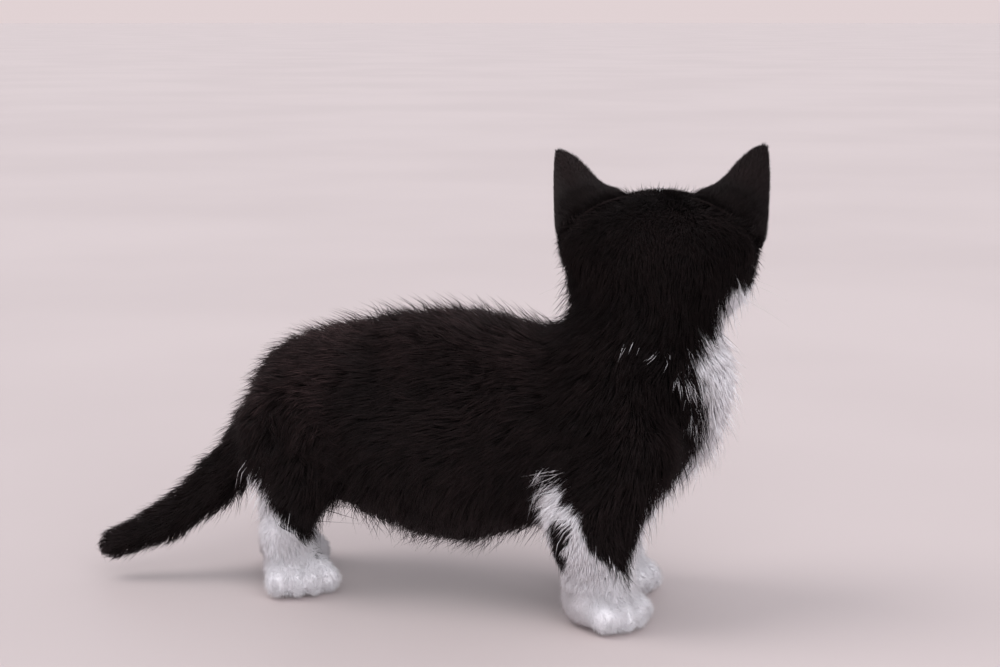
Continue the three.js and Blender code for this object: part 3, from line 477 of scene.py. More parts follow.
def net(field, lines, place, rounds=3):
    """Points and four-sided faces of the surface, facing outward."""
    values = grid_values(field, lines, place)
    fill_pinches(values)
    inside = values < 0
    low, high = slice(0, -1), slice(1, None)
    corners = [(i, j, k) for i in (0, 1) for j in (0, 1) for k in (0, 1)]
    count = sum(inside[tuple((low, high)[c] for c in corner)].astype(np.int8) for corner in corners)
    cells = np.stack(np.nonzero((count > 0) & (count < 8)))
    around = np.stack([values[tuple(cells + np.array(corner)[:, None])] for corner in corners])
    mean, crossed = np.zeros((cells.shape[1], 3)), np.zeros(cells.shape[1])
    for m, a in enumerate(corners):
        for n, b in enumerate(corners):
            if m < n and sum(abs(u - w) for u, w in zip(a, b)) == 1:
                cross = (around[m] < 0) != (around[n] < 0)
                t = around[m] / np.where(cross, around[m] - around[n], 1)
                mean += np.where(cross[:, None], np.array(a) + t[:, None] * np.subtract(b, a), 0)
                crossed += cross
    mean /= crossed[:, None]
    base = np.stack([lines[axis][cells[axis]] for axis in range(3)], -1)
    step = np.stack([lines[axis][cells[axis] + 1] for axis in range(3)], -1) - base
    start = base + mean * step
    p, most = start.copy(), step.min(-1)[:, None] * 0.48

    def here(q):
        return in_turns(field, place(q))

    for _ in range(rounds):
        p -= to_surface(here, p)
        moved = p - start
        p = start + moved * np.minimum(1, most / np.maximum(size_of(moved), TINY)[:, None])
    index = np.full(values.shape, -1)
    index[tuple(cells)] = np.arange(cells.shape[1])
    faces = []
    for axis in range(3):
        u, w = (axis + 1) % 3, (axis + 2) % 3
        first = tuple(low if n == axis else high for n in range(3))
        last = tuple(high for _ in range(3))
        edge = np.stack(np.nonzero(inside[first] != inside[last]))
        edge[u] += 1
        edge[w] += 1
        around = []
        for du, dw in ((-1, -1), (0, -1), (0, 0), (-1, 0)):
            cell = edge.copy()
            cell[u] += du
            cell[w] += dw
            around.append(index[tuple(cell)])
        quad = np.stack(around, -1)
        outward = inside[tuple(edge)]
        quad[~outward] = quad[~outward][:, ::-1]
        faces.append(quad)
    return place(p), np.concatenate(faces)


def halved(quads):
    return np.concatenate((quads[:, (0, 1, 2)], quads[:, (0, 2, 3)]))


# Markings: black over the back, white on the bib, throat, muzzle and feet

def ripple(p, wavelength, seed):
    """A smooth wave field over space, from about -1 to 1."""
    draw = np.random.default_rng(seed)
    total = np.zeros(len(p))
    for _ in range(7):
        direction = unit(draw.normal(size=3)) * 2 * math.pi / (wavelength * draw.uniform(0.6, 1.5))
        total += np.sin(p @ direction + draw.uniform(0, 2 * math.pi))
    return total / 2.6


# The white's edges: each pair of rows gives places along a line and the edge's places across it
BIB_HEIGHTS = (38, 48, 58, 65, 75, 83, 92)
BIB_RIGHT = (-10, -4, -4.5, -7, -10.5, -12, -12)
BIB_LEFT = (19, 16, 17, 19, 21, 23, 24)
BLAZE_UPS = (-6, 0, 5, 11, 17, 20)
BLAZE_WIDTHS = (5.2, 3.6, 2.4, 1.7, 1.1, 0)
BIB_ACROSS, BIB_TOPS = (-15, -9, -3, 5.5), (82, 87.5, 92, 98)
FORE_BACKS = (-68, -64, -61.1, -57.8, -54.8, -53, -50.9, -47.8, -43.9, -38.6, -33)
FORE_HEIGHTS = (21, 16.5, 18.5, 23.5, 26.5, 31, 36.5, 40.5, 43.5, 46.5, 49)
HIND_BACKS = (42, 49.4, 51.6, 54.4, 59, 63.4, 66.7, 70)
HIND_HEIGHTS = (13, 14.5, 18.5, 23.5, 27.5, 33, 37.5, 40)
# Thin lines of white hairs from the right shoulder to the bib, and up from it under the jaw
STREAK = (
    (-26.3, -59.1, 94.6), (-25.3, -66.1, 93.8), (-24.3, -70.2, 92), (-22, -75.2, 88.6), (-19, -79.8, 83.8),
    (-16.3, -82.9, 79), (-14.3, -84.2, 72.5), (-11.8, -83.5, 60.4),
)
BRANCH = (
    (-18.5, -80.6, 85.5), (-16.9, -81.2, 88.1), (-13.9, -83.8, 91), (-9.3, -86.7, 94.4), (-4, -88.8, 97),
)
# Black patches in the white of the right foreleg, and the middle of a place where black and white hairs mix
FORE_PATCHES = (
    ((-39, -42.5, 31), (9, 4.6, 4.6)),
    ((-34, -41.5, 22), (7, 3.0, 5.5)),
)
STREAKY = (-30, -61, 21)
TAIL_CLEAR = 5
HEAD_NEAR = 42


def white_edge(p):
    """Distance to the white's edge, negative in the white."""
    x, y, z = p.T
    a, l, u = in_head(p).T
    wobble = 1.1 * ripple(p, 9, 11) + 0.5 * ripple(p, 3.5, 12)
    bib = np.maximum.reduce((
        np.interp(z, BIB_HEIGHTS, BIB_RIGHT) - x,
        x - np.interp(z, BIB_HEIGHTS, BIB_LEFT),
        y + 64,
        z - np.interp(x, BIB_ACROSS, BIB_TOPS),
        34 - z,
    ))
    under = np.maximum.reduce((np.abs(x) - 25, y + 31, z - 43.5))
    near = size_of(p - HEAD_CENTRE) - HEAD_NEAR
    throat = np.maximum.reduce((-(a + 12), u + 8.5, y + 70 - 0.9 * (z - 84), 80 - z, near))
    muzzle = np.maximum.reduce((2 - a, u + 8.5 - 6 * ramp(a, 13, 25), -27 - u, near))
    blaze = np.maximum.reduce((np.abs(l - 0.5) - np.interp(u, BLAZE_UPS, BLAZE_WIDTHS), 4 - a, -12 - u))
    top = np.where(x < -16, np.interp(y, FORE_BACKS, FORE_HEIGHTS), 30 + 6 * ramp(y, -44, -34))
    fore = np.maximum(y + np.where(x < 0, 33, 30), z - top)
    back = y - 17 * (x > 0)
    hind = np.maximum(z - np.interp(back, HIND_BACKS, HIND_HEIGHTS), 36 - y)
    rear = np.maximum(y - np.where(x < 0, 77, 91), z - 38.5 + 0.5 * (x > 0) * (z - 30))
    hind = np.maximum.reduce((hind, rear, TAIL_CLEAR - tail_form(p)))
    white = np.minimum.reduce((bib, under, throat, muzzle, blaze, fore, hind)) + wobble
    for centre, radii in FORE_PATCHES:
        white = np.maximum(white, -ellipsoid(p, centre, radii) - 0.4 * wobble)
    return white


def wisps(p):
    """Share of fine white hairs in the thin lines at the shoulder and under the jaw."""
    line = np.minimum(along_line(p, STREAK) - 1.6 - 0.8 * ramp(-p[:, 1], 72, 80), along_line(p, BRANCH) - 1.5)
    line = line + 0.7 * ripple(p, 5, 21)
    return 0.9 * ramp(-line, -1.8, 0.9)


# The coat: solid tapered tufts, rooted in the skin and following the lie

def weights(mass, soft=2.2):
    """How far each mass owns each point."""
    names = list(mass)
    values = np.stack([mass[name] for name in names])
    share = np.exp(-(values - values.min(0)) / soft)
    share /= share.sum(0)
    return dict(zip(names, share))


def foot_lie(p, legs, back):
    """Down the leg, then forward over the toes."""
    lie = np.zeros_like(p)
    for name, side in SIDES:
        leg = legs[name]
        own = p[:, 0] * side > 0
        q = in_foot(p, leg)
        turn = math.radians(leg["toe_out"]) * side
        forward = np.array((math.sin(turn), -math.cos(turn), -0.5))
        across = np.array((math.cos(turn), math.sin(turn), 0))
        ahead = ramp(-q[:, 1], -3, 7) * ramp(-q[:, 2], -17, -9)
        down = np.array((0, back, -1.0))
        toward = mix(down, forward, ahead[:, None]) + across * (0.045 * q[:, 0] * ahead)[:, None]
        lie[own] = toward[own]
    return lie


def tail_lie(p):
    away = [taper(p, TAIL[i], TAIL[i + 1], 0, 0) for i in range(len(TAIL) - 1)]
    share = np.exp(-(np.stack(away) - np.minimum.reduce(away)) / 4)
    along = unit(np.diff(np.array(TAIL, float), axis=0))
    return np.einsum("ij,ik->jk", share, along)


NOSE_TIP = (34, 0, -3)
EAR_ROOT_LINE = ((-3, 11.5, 22), (-8.7, 18.7, 21), (-9.6, 24.7, 18), (-5.9, 29.4, 13))


def head_lie(h):
    """Back from the nose, down over the back of the head and the cheeks, and up along the ears' roots."""
    away = unit(h - np.array(NOSE_TIP))
    drop = 1.5 * ramp(-h[:, 0], -8, 20) + 0.35 * ramp(np.abs(h[:, 1]), 12, 24)
    out = 0.25 * np.sign(h[:, 1]) * ramp(np.abs(h[:, 1]), 2, 20)
    away[:, 1] += out
    away[:, 2] -= drop
    even = h * np.stack((np.ones(len(h)), np.sign(h[:, 1]), np.ones(len(h))), -1)
    at_ear = ramp(-along_line(even, EAR_ROOT_LINE), -8, -3) * ramp(-h[:, 0], -2, 3)
    upward = np.stack((np.full(len(h), 0.15), 0.4 * np.sign(h[:, 1]), np.ones(len(h))), -1)
    return mix(away, upward, at_ear[:, None]) @ HEAD_AXES


def lie_of(p, n, share):
    x, y, z = p.T
    zero = np.zeros(len(p))
    flank = np.abs(n[:, 0])
    low = ramp(-z, -62, -36) * ramp(-n[:, 2], -0.3, 0.3)
    fold = low * ramp(y, 8, 28)
    along = np.stack((
        0.3 * np.sign(x) * ramp(z, 86, 99), 1 - 0.45 * low - 0.4 * fold, -0.15 - 0.4 * flank - 1.1 * low,
    ), -1)
    chest = ramp(-y, 60, 78)[:, None]
    trunk = mix(along, np.array((0, 0.2, -1.0)), chest)
    lies = dict(
        trunk=trunk,
        shoulder=np.stack((zero, 0.5 - 0.4 * ramp(-y, 60, 76), zero - 0.85), -1),
        haunch=np.stack((zero, zero + 0.45, zero - 0.8), -1),
        neck=np.stack((zero, 0.4 - 0.3 * ramp(-y, 66, 84), zero - 1), -1),
        foreleg=foot_lie(p, FORELEG, 0.3),
        hindleg=foot_lie(p, HINDLEG, 0.15),
        tail=tail_lie(p),
        head=head_lie(in_head(p)),
    )
    return sum(share[name][:, None] * unit(lies[name]) for name in lies)


def flattened(direction, n):
    return unit(direction - (direction * n).sum(-1)[:, None] * n)


def turned(direction, n, angle):
    """Directions turned about the surface's normals."""
    across = np.cross(n, direction)
    return direction * np.cos(angle)[:, None] + across * np.sin(angle)[:, None]


def scatter(points, triangles, density, rng):
    """Even random places on triangles: positions, triangle numbers and corner shares."""
    corner = points[triangles]
    area = size_of(np.cross(corner[:, 1] - corner[:, 0], corner[:, 2] - corner[:, 0])) / 2
    total = np.cumsum(area * density)
    count = int(total[-1])
    picks = (np.arange(count) + rng.random(count)) / count * total[-1]
    chosen = np.searchsorted(total, picks).clip(0, len(triangles) - 1)
    u, w = rng.random(count), rng.random(count)
    fold = u + w > 1
    u, w = np.where(fold, 1 - u, u), np.where(fold, 1 - w, w)
    share = np.stack((1 - u - w, u, w), -1)
    return (corner[chosen] * share[..., None]).sum(1), chosen, share


CELL_KEYS = (73856093, 19349663, 83492791)


def clumped(p, cell, seed):
    """The number of the jittered cell that each point is nearest to."""
    base = np.floor(p / cell).astype(np.int64)
    best = np.full(len(p), FAR)
    chosen = np.zeros(len(p), np.int64)
    for step in np.ndindex(3, 3, 3):
        at = base + np.array(step) - 1
        key = (at[:, 0] * CELL_KEYS[0]) ^ (at[:, 1] * CELL_KEYS[1]) ^ (at[:, 2] * CELL_KEYS[2]) ^ seed
        waves = [np.abs(np.sin(key * factor)) * 4375.5 for factor in (0.37, 0.73, 1.17)]
        jitter = np.stack([np.modf(wave)[0] for wave in waves], -1)
        gap = size_of((at + jitter) * cell - p)
        nearer = gap < best
        best[nearer], chosen[nearer] = gap[nearer], key[nearer]
    return np.unique(chosen, return_inverse=True)[1]


def gathered(values, clump):
    """The mean of each point's clump."""
    count = np.bincount(clump)
    return np.stack([np.bincount(clump, column)[clump] / count[clump] for column in values.T], -1)


def tufts(path, radius, normal, thick=0.7):
    """Three-sided tapered tufts along paths of rings and a tip: points and triangles."""
    count, rings = radius.shape
    turns = np.radians((90, 210, 330))
    points = np.empty((count, 3 * rings + 1, 3))
    for j in range(rings):
        ahead = unit(path[:, j + 1] - path[:, max(j - 1, 0)])
        side = unit(np.cross(ahead, normal))
        up = np.cross(side, ahead)
        for k, turn in enumerate(turns):
            off = math.cos(turn) * side + thick * math.sin(turn) * up
            points[:, 3 * j + k] = path[:, j] + radius[:, j, None] * off
    points[:, -1] = path[:, -1]
    faces = [(0, 1, 2)]
    for j in range(rings):
        for k in range(3):
            a, b = 3 * j + k, 3 * j + (k + 1) % 3
            if j < rings - 1:
                faces += [(b, a, a + 3), (b, a + 3, b + 3)]
            else:
                faces.append((b, a, 3 * rings))
    start = (np.arange(count) * (3 * rings + 1))[:, None, None]
    return points.reshape(-1, 3), (np.array(faces)[None] + start).reshape(-1, 3)


# Each tuft's colours are read at its root's place on an unwrap of the skin

MAP_SCALE = 0.00215
PATCH = 0.003
# Axes and radii in millimetres of the tubes that the unwrap lays flat
TRUNK_TUBE = dict(height=62, radius=33)
NECK_TUBE = dict(x=3, y=-64, height=95, radius=26)
HEAD_RADIUS, LEG_TUBE, LEG_END, TAIL_TUBE = 27, 10, 9, 9
MAP_CORNERS = dict(
    body=(0.235, 0.30), neck=(0.19, 0.65), front=(0.575, 0.11), back=(0.775, 0.11), tail=(0.94, 0.02),
    fore_right=(0.55, 0.25), fore_left=(0.70, 0.25), hind_right=(0.85, 0.25), hind_left=(0.55, 0.43),
)
# One patch for the back and one for the inside of each ear
EAR_CORNERS = {
    ("right", 0): (0.66, 0.62), ("right", 1): (0.76, 0.62),
    ("left", 0): (0.66, 0.74), ("left", 1): (0.76, 0.74),
}
EAR_MAP = (36, 38)


def around_axis(x, z, wide):
    return np.arctan2(x, z) * wide


def unwrap(p, share):
    """Places on the skin's unwrap: tubes for the trunk, neck, legs and tail, and two discs for the head."""
    names = list(share)
    owner = np.array(names)[np.argmax(np.stack([share[name] for name in names]), 0)]
    x, y, z = p.T
    uv = np.empty((len(p), 2))
    above = z - TRUNK_TUBE["height"]
    round_end = np.sign(y) * np.maximum(TRUNK_TUBE["radius"] - np.hypot(x, above), 0)
    turn = around_axis(x, above, TRUNK_TUBE["radius"])
    uv[:] = np.stack((turn, y + round_end), -1) * MAP_SCALE + MAP_CORNERS["body"]
    own = owner == "neck"
    turn = around_axis(x[own] - NECK_TUBE["x"], y[own] - NECK_TUBE["y"], NECK_TUBE["radius"])
    uv[own] = np.stack((turn, z[own] - NECK_TUBE["height"]), -1) * MAP_SCALE + MAP_CORNERS["neck"]
    own = owner == "head"
    a, l, u = in_head(p[own]).T
    aside = np.hypot(l, u)
    from_front = np.arctan2(aside, a)
    facing = from_front < math.pi / 2
    reach = HEAD_RADIUS * np.where(facing, from_front, math.pi - from_front) / np.maximum(aside, 1e-6)
    corner = np.where(facing[:, None], MAP_CORNERS["front"], MAP_CORNERS["back"])
    uv[own] = np.stack((l * reach, u * reach), -1) * MAP_SCALE + corner
    for kind, legs in (("fore", FORELEG), ("hind", HINDLEG)):
        for name, side in SIDES:
            own = (owner == kind + "leg") & (x * side > 0)
            middle = legs[name]["end"]
            dx, dy = x[own] - middle[0], y[own] - middle[1]
            up = z[own] - np.maximum(np.hypot(dx, dy) - LEG_END, 0)
            turn = around_axis(dx, dy, LEG_TUBE)
            uv[own] = np.stack((turn, up), -1) * MAP_SCALE + MAP_CORNERS[kind + "_" + name]
    own = owner == "tail"
    if own.any():
        points = np.array(TAIL, float)
        steps = np.diff(points, axis=0)
        lengths = size_of(steps)
        best, along = np.full(own.sum(), FAR), np.zeros(own.sum())
        middle = np.zeros((own.sum(), 3))
        for i, step in enumerate(steps):
            t = np.clip((p[own] - points[i]) @ step / lengths[i] ** 2, 0, 1)
            spot = points[i] + t[:, None] * step
            gap = size_of(p[own] - spot)
            near = gap < best
            best[near], middle[near] = gap[near], spot[near]
            along[near] = (lengths[:i].sum() + t * lengths[i])[near]
        off = p[own] - middle
        turn = around_axis(off[:, 0], off[:, 1] + off[:, 2], TAIL_TUBE)
        uv[own] = np.stack((turn, along), -1) * MAP_SCALE + MAP_CORNERS["tail"]
    return uv, owner


def tuft_uv(place, rings):
    """A small patch at the root's place for each tuft's points."""
    spots = []
    for j in range(rings):
        rise = j / rings * PATCH
        spots += [(0, rise - 0.1 * PATCH), (-0.45 * PATCH, rise), (0.45 * PATCH, rise)]
    spots.append((0, PATCH))
    return (place[:, None] + np.array(spots)[None]).reshape(-1, 2)


PIECES = {}


def add_tufts(piece, path, radius, normal, uv, white, shade):
    points, faces = tufts(path, radius, normal)
    rings = radius.shape[1]
    each = 3 * rings + 1
    along = np.append(np.repeat(np.arange(rings) / rings, 3), 1.0)
    part = dict(
        points=points,
        faces=faces,
        uv=tuft_uv(uv, rings),
        white=np.repeat(white, each),
        shade=np.repeat(shade, each),
        along=np.tile(along, len(path)),
    )
    PIECES.setdefault(piece, []).append(part)


LOCKS, LOCK_CELL = 4096, (7, 9)
# Share of single hairs painted lighter as glints (painted highlights), and the highest shade value
GLINT_SHARE, MOST_SHADE = 0.3, 6


def shade_at(p, share, rng):
    """Soft tone changes and locks of lighter and darker hair, with painted light on top: painted sheen over
    the back and the rump, painted floor-bounce light on the low flank, and painted glints on single hairs.
    """
    _, y, z = p.T
    body = np.minimum(share["trunk"] + share["haunch"] + 0.5 * share["tail"], 1)
    # Where light falls on the coat: the top of the back and the rump take painted sheen, and the low flank
    # takes painted light bounced off the floor.
    top = ramp(z, 74, 95)
    rump = ramp(y, 20, 50) * ramp(z, 55, 72)
    low = ramp(-z, -48, -34) * share["trunk"]
    lock = np.random.default_rng(33).normal(0, 0.13, LOCKS)[clumped(p, *LOCK_CELL) % LOCKS]
    # The hair's own tone (base, locks, ripples) plus the painted light of the top, rump and low terms
    tone_and_painted_light = 0.14 + body * (0.30 + 0.8 * top + 1.3 * rump + 0.6 * low) + lock
    tone_and_painted_light = tone_and_painted_light + 0.2 * ripple(p, 18, 31) + 0.12 * ripple(p, 6, 32)
    # Painted glints: single hairs painted lighter, a little everywhere and most where the painted sheen is
    painted_glint_strength = 0.35 + body * (0.35 + 3.2 * rump + 1.5 * top + 0.5 * low)
    glint = painted_glint_strength * rng.uniform(0.3, 1.7, len(p)) * (rng.random(len(p)) < GLINT_SHARE)
    return np.clip(tone_and_painted_light + glint + rng.normal(0, 0.1, len(p)), 0, MOST_SHADE)


def piece_of(p, n, owner):
    """Which coat piece a root belongs to, so that no piece grows too large."""
    x, y, z = p.T
    side = np.where(x < 0, "right", "left")
    name = np.array(["coat_flank_" + s for s in side], object)
    front = y < -30
    name[front] = ["coat_shoulder_" + s for s in side[front]]
    rear = y > 32
    name[rear] = ["coat_haunch_" + s for s in side[rear]]
    name[(n[:, 2] > 0.75) & (z > 70)] = "coat_back"
    name[(n[:, 2] < -0.5) & (z < 60)] = "coat_belly"
    name[(y < -72) & (owner != "head")] = "coat_chest"
    name[owner == "neck"] = "coat_neck"
    name[owner == "tail"] = "coat_tail"
    a, l, _ = in_head(p).T
    head = owner == "head"
    name[head] = ["coat_head_" + s for s in np.where(l[head] > 0, "left", "right")]
    name[head & (a > 6)] = "coat_face"
    for kind in ("fore", "hind"):
        own = owner == kind + "leg"
        name[own] = ["coat_" + kind + "leg_" + s for s in side[own]]
    return name


def bald(p):
    """Where no tuft roots: eye openings, nose, lips and soles."""
    h = in_head(p)
    none = p[:, 2] < BARE["sole"]
    for _, side in SIDES:
        q = in_eye(h, side)
        none |= (size_of(q) < EYE["radius"] + BARE["eye"]) & (opening(q) < BARE["lids"])
    none |= ellipsoid(h, *BARE_NOSE) < 0
    for away in from_lips(h):
        none |= away < BARE["lips"]
    return none


BARE = dict(sole=0.7, eye=1.1, lids=0.9, lips=0.7)
BARE_NOSE = ((34, 0, -4.8), (4.2, 4.9, 3.9))
# Tufts to a square millimetre, and their share under the belly, where few are seen
COVER = dict(long=2.3, short=3.6, under=0.42, guard=0.37)
DEPTHS = (0.5, 8.5)
# Cell and seed of the coat's locks and of the fine locks in them
CLUMP, FINE_CLUMP = (4.2, 5), (1.6, 6)
# Tufts: lengths and radii at no depth and what each millimetre of depth adds
TUFT = dict(
    long=1.35, long_by_depth=1.4, long_spread=(0.75, 1.15),
    radius=0.092, radius_by_depth=0.0146, radius_spread=(0.8, 1.2),
    guard_long=1.12, guard_radius=0.62, foot_long=0.2, foot_radius=0.15, fine_radius=0.4,
    rooted=0.35, short_depth=2.2, short_radius=1.15, narrowing=(1, 0.78),
)
FLOOR_GAP = 0.35


def plant(points, triangles, normals, density, rng):
    """Roots and normals spread over the skin, clear of its bare places."""
    roots, chosen, corner = scatter(points, triangles, density, rng)
    n = unit((normals[triangles[chosen]] * corner[..., None]).sum(1))
    keep = ~bald(roots)
    return roots[keep], n[keep]


def grow_coat(points, quads, rng):
    triangles = halved(quads)
    normals = unit(slope_of(lambda q: in_turns(skin, q), points))
    middle = points[triangles].mean(1)
    depth = np.clip(-in_turns(outline, middle), *DEPTHS)
    hidden = ramp(-normals[triangles[:, 0], 2], 0.55, 0.8) * ramp(middle[:, 2], 25, 30)
    hidden = hidden * ramp(-np.abs(middle[:, 0]), -25, -16)
    thin = 1 - (1 - COVER["under"]) * hidden
    density = (COVER["long"] + COVER["short"] * (1 - ramp(depth, 1, 4))) * thin
    comb(*plant(points, triangles, normals, density, rng), rng)
    density = COVER["guard"] * (0.7 + 0.3 * (1 - ramp(depth, 1, 3))) * thin
    comb(*plant(points, triangles, normals, density, rng), rng, guard=True)


def guard_stand(p, n, depth, rng):
    """How far the guard hairs stand past the outline: most along the back, belly and breast."""
    fringe = ramp(-n[:, 2], -0.25, 0.35) * ramp(depth, 3, 5) * ramp(p[:, 2], 22, 30)
    ridge = ramp(n[:, 2], 0.5, 0.9) * ramp(p[:, 2], 80, 92) * ramp(-p[:, 1], -60, -20)
    most = 0.9 + 0.3 * depth + 2.4 * fringe + 1.4 * ridge
    return most * rng.uniform(0.05, 1, len(p)) ** 1.3


def comb(roots, n, rng, guard=False):
    """Tufts on their roots, laid along the coat and drawn together at their tips."""
    share = weights(masses(roots, 1))
    uv, owner = unwrap(roots, share)
    depth = np.clip(-in_turns(outline, roots), *DEPTHS)
    count = len(roots)
    clump, fine = clumped(roots, *CLUMP), clumped(roots, *FINE_CLUMP)
    vary = rng.normal(0, 1, (clump.max() + 1, 4))[clump]
    deep = ramp(depth, 1.5, 5)
    lie = flattened(lie_of(roots, n, share), n)
    swirl = 0.25 * ripple(roots, 24, 41) + 0.16 * ripple(roots, 9, 42) + 0.1 * vary[:, 0] * deep
    foot = ramp(share["foreleg"] + share["hindleg"], 0.4, 0.8) * ramp(-roots[:, 2], -34, -22)
    fine_white = rng.random(count) < wisps(roots + lie * 2.5 + n * 0.6 * depth[:, None])
    lie = turned(lie, n, swirl + rng.normal(0, 0.12 + 0.1 * guard + 0.12 * foot + 0.45 * fine_white, count))
    long = (TUFT["long"] + TUFT["long_by_depth"] * depth) * (1 + 0.08 * vary[:, 1] * deep)
    long = long * rng.uniform(*TUFT["long_spread"], count)
    radius = (TUFT["radius"] + TUFT["radius_by_depth"] * depth) * rng.uniform(*TUFT["radius_spread"], count)
    flat = -0.08 - 0.22 * deep
    uneven = rng.normal(0, 0.13, count)
    target = depth * (flat + 0.09 * vary[:, 2] * deep + uneven) + rng.normal(0, 0.12, count)
    target += foot * rng.normal(0.2, 0.45, count) + fine_white * rng.uniform(0.6, 1.8, count)
    long = long * (1 + TUFT["foot_long"] * foot)
    radius = radius * (1 - TUFT["foot_radius"] * foot)
    radius = radius * (1 - TUFT["fine_radius"] * fine_white)
    if guard:
        target = guard_stand(roots, n, depth, rng)
        long = TUFT["guard_long"] * long + target
        radius = radius * TUFT["guard_radius"]
    high = depth + target
    reach = np.sqrt(np.maximum(long ** 2 - high ** 2, (0.3 * long) ** 2))
    tip = roots + lie * reach[:, None] + n * high[:, None]
    pull = (0.28 - 0.1 * guard) * deep * np.clip(1 + 0.35 * vary[:, 3], 0.2, 1.8)
    tip = mix(tip, gathered(tip, clump), pull[:, None])
    tip = mix(tip, gathered(tip, fine), ((0.38 - 0.2 * guard) * deep)[:, None])
    off = in_turns(outline, tip) - target
    tip -= n * (0.85 * np.clip(off, -5, 5))[:, None]
    astray = ramp(in_turns(outline, tip) - target, 1.0, 2.6)
    bridging = ramp(in_turns(outline, mix(roots, tip, 0.55)) - 0.55 * np.maximum(target, 0), 0.25, 0.9)
    astray = np.maximum(astray, bridging)
    tip = mix(tip, roots + lie * (0.2 * reach)[:, None] + n * (0.8 * high)[:, None], astray[:, None])
    middle = roots + lie * (0.46 * reach)[:, None] + n * (0.66 * high)[:, None]
    middle = mix(middle, (roots + tip) / 2 + n * (0.16 * high)[:, None], 0.6)
    start = roots - n * TUFT["rooted"]
    streaky = ramp(-size_of(roots - STREAKY), -13, -6)
    edge = white_edge(mix(roots, tip, 0.7)) + rng.normal(0, 0.7, count) * (1 + 2.4 * streaky)
    white = np.where((edge < 0) | fine_white, 1.0, 0.0)
    shade = shade_at(roots, share, rng)
    names = piece_of(roots, n, owner).astype(str)
    for name in np.unique(names):
        own = names == name
        short = depth < TUFT["short_depth"]
        for some, path, widths in (
            (own & short, (start, tip), (TUFT["short_radius"],)),
            (own & ~short, (start, middle, tip), TUFT["narrowing"]),
        ):
            if some.any():
                path, widths = lifted(np.stack(path, 1)[some]), radius[some, None] * widths
                add_tufts(name, path, widths, n[some], uv[some], white[some], shade[some])


def lifted(path):
    """Paths kept clear of the floor."""
    path[..., 2] = np.maximum(path[..., 2], FLOOR_GAP)
    return path


# Ears: a thin cup from a curved root in the skull to a rounded tip

EAR = dict(
    inner=(-3, 11.5, 22), back=(-19, 27, 22), outer=(2.5, 33, 6),
    tip_right=(-1, 34.4, 39.2), tip_left=(-1, 34, 36.8),
    inner_swell=(0.4, 0.5, -0.7), inner_wave=(0, 0.64, -0.9),
    back_swell=(-1.6, 0.2, 0.4), outer_swell=(0.8, 1.2, 0),
    root=-0.12, end=0.94, tip_round=0.07, thick_root=1.35, thick_tip=0.7, fold_depth=0.35,
)
EAR_HAIRS = dict(back=9500, rim=2700, end=450, crease=1400, down=1600, long=420)
# Hairs longer than this bend, and roots deeper than this in the skin are left out
EAR_BENT, EAR_BURIED = 4.5, -0.6
EAR_SUNK = 0.15


def ear_point(s, t, side):
    s, t = np.asarray(s)[..., None], np.asarray(t)[..., None]
    inner, back, outer = (np.array(EAR[key], float) for key in ("inner", "back", "outer"))
    tip = np.array(EAR["tip_left"] if side > 0 else EAR["tip_right"], float)
    root = inner * (1 - t) ** 2 + back * 2 * t * (1 - t) + outer * t ** 2
    edge = np.sin(math.pi * np.minimum(s, 1))
    swell = (
        np.array(EAR["inner_swell"]) * (1 - t) ** 2
        + np.array(EAR["back_swell"]) * 4 * t * (1 - t)
        + np.array(EAR["outer_swell"]) * t ** 2
    )
    wave = np.array(EAR["inner_wave"]) * (1 - t) ** 2 * np.sin(2 * math.pi * np.minimum(s, 1))
    return mix(root, tip, s) + swell * edge + wave


def ear_frame(s, t, side, step=1e-3):
    """Position, inward, tipward and outward directions, in the head's frame."""
    t = 0.5 + (t - 0.5) * np.sqrt(np.clip((EAR["end"] - s) / EAR["tip_round"], 1e-4, 1))
    p = ear_point(s, t, side)
    across = ear_point(s, t + step, side) - ear_point(s, t - step, side)
    along = ear_point(s + step, t, side) - ear_point(s - step, t, side)
    inward = unit(np.cross(across, along))
    mirror = np.array((1, side, 1))
    return p * mirror, inward * mirror, unit(along) * mirror, unit(across) * mirror


def ear_thickness(s, t):
    rim = np.sin(math.pi * np.clip(t, 0.02, 0.98)) ** 0.4
    return mix(EAR["thick_root"], EAR["thick_tip"], np.clip(s, 0, 1)) * (0.35 + 0.65 * rim)


def ear_rows(rows):
    """Shares along the ear, closer together towards its tip."""
    even = np.linspace(0, 1, rows + 1)
    return mix(EAR["root"], EAR["end"], 1 - (1 - even) ** 1.5)


def ear_mesh(side, rows=38, columns=40):
    s, t = np.meshgrid(ear_rows(rows), np.linspace(0.01, 0.99, columns + 1), indexing="ij")
    p, inward, _, _ = ear_frame(s, t, side)
    fold = EAR["fold_depth"] * np.sin(t * 26) * ramp(t, 0.25, 0.4)
    fold = fold * ramp(-t, -0.8, -0.6) * ramp(-s, -0.5, -0.1)
    back = p - inward * ear_thickness(s, t)[..., None]
    front = p + inward * fold[..., None]
    points = from_head(np.concatenate((back.reshape(-1, 3), front.reshape(-1, 3))))
    wide, layer = columns + 1, (rows + 1) * (columns + 1)
    at = np.arange(layer).reshape(rows + 1, wide)
    a, b, c, d = at[:-1, :-1], at[:-1, 1:], at[1:, 1:], at[1:, :-1]
    sheets = [(a, b, c, d), (a + layer, d + layer, c + layer, b + layer)]
    for edge, outward in ((at[:, 0], False), (at[:, -1], True), (at[0], True), (at[-1], False)):
        low, high = edge[:-1], edge[1:]
        sheet = (low, high, high + layer, low + layer)
        sheets.append((sheet[0], *sheet[:0:-1]) if outward else sheet)
    faces = np.concatenate([np.stack([corner.ravel() for corner in sheet], -1) for sheet in sheets])
    return points, faces[:, ::-1] if side > 0 else faces


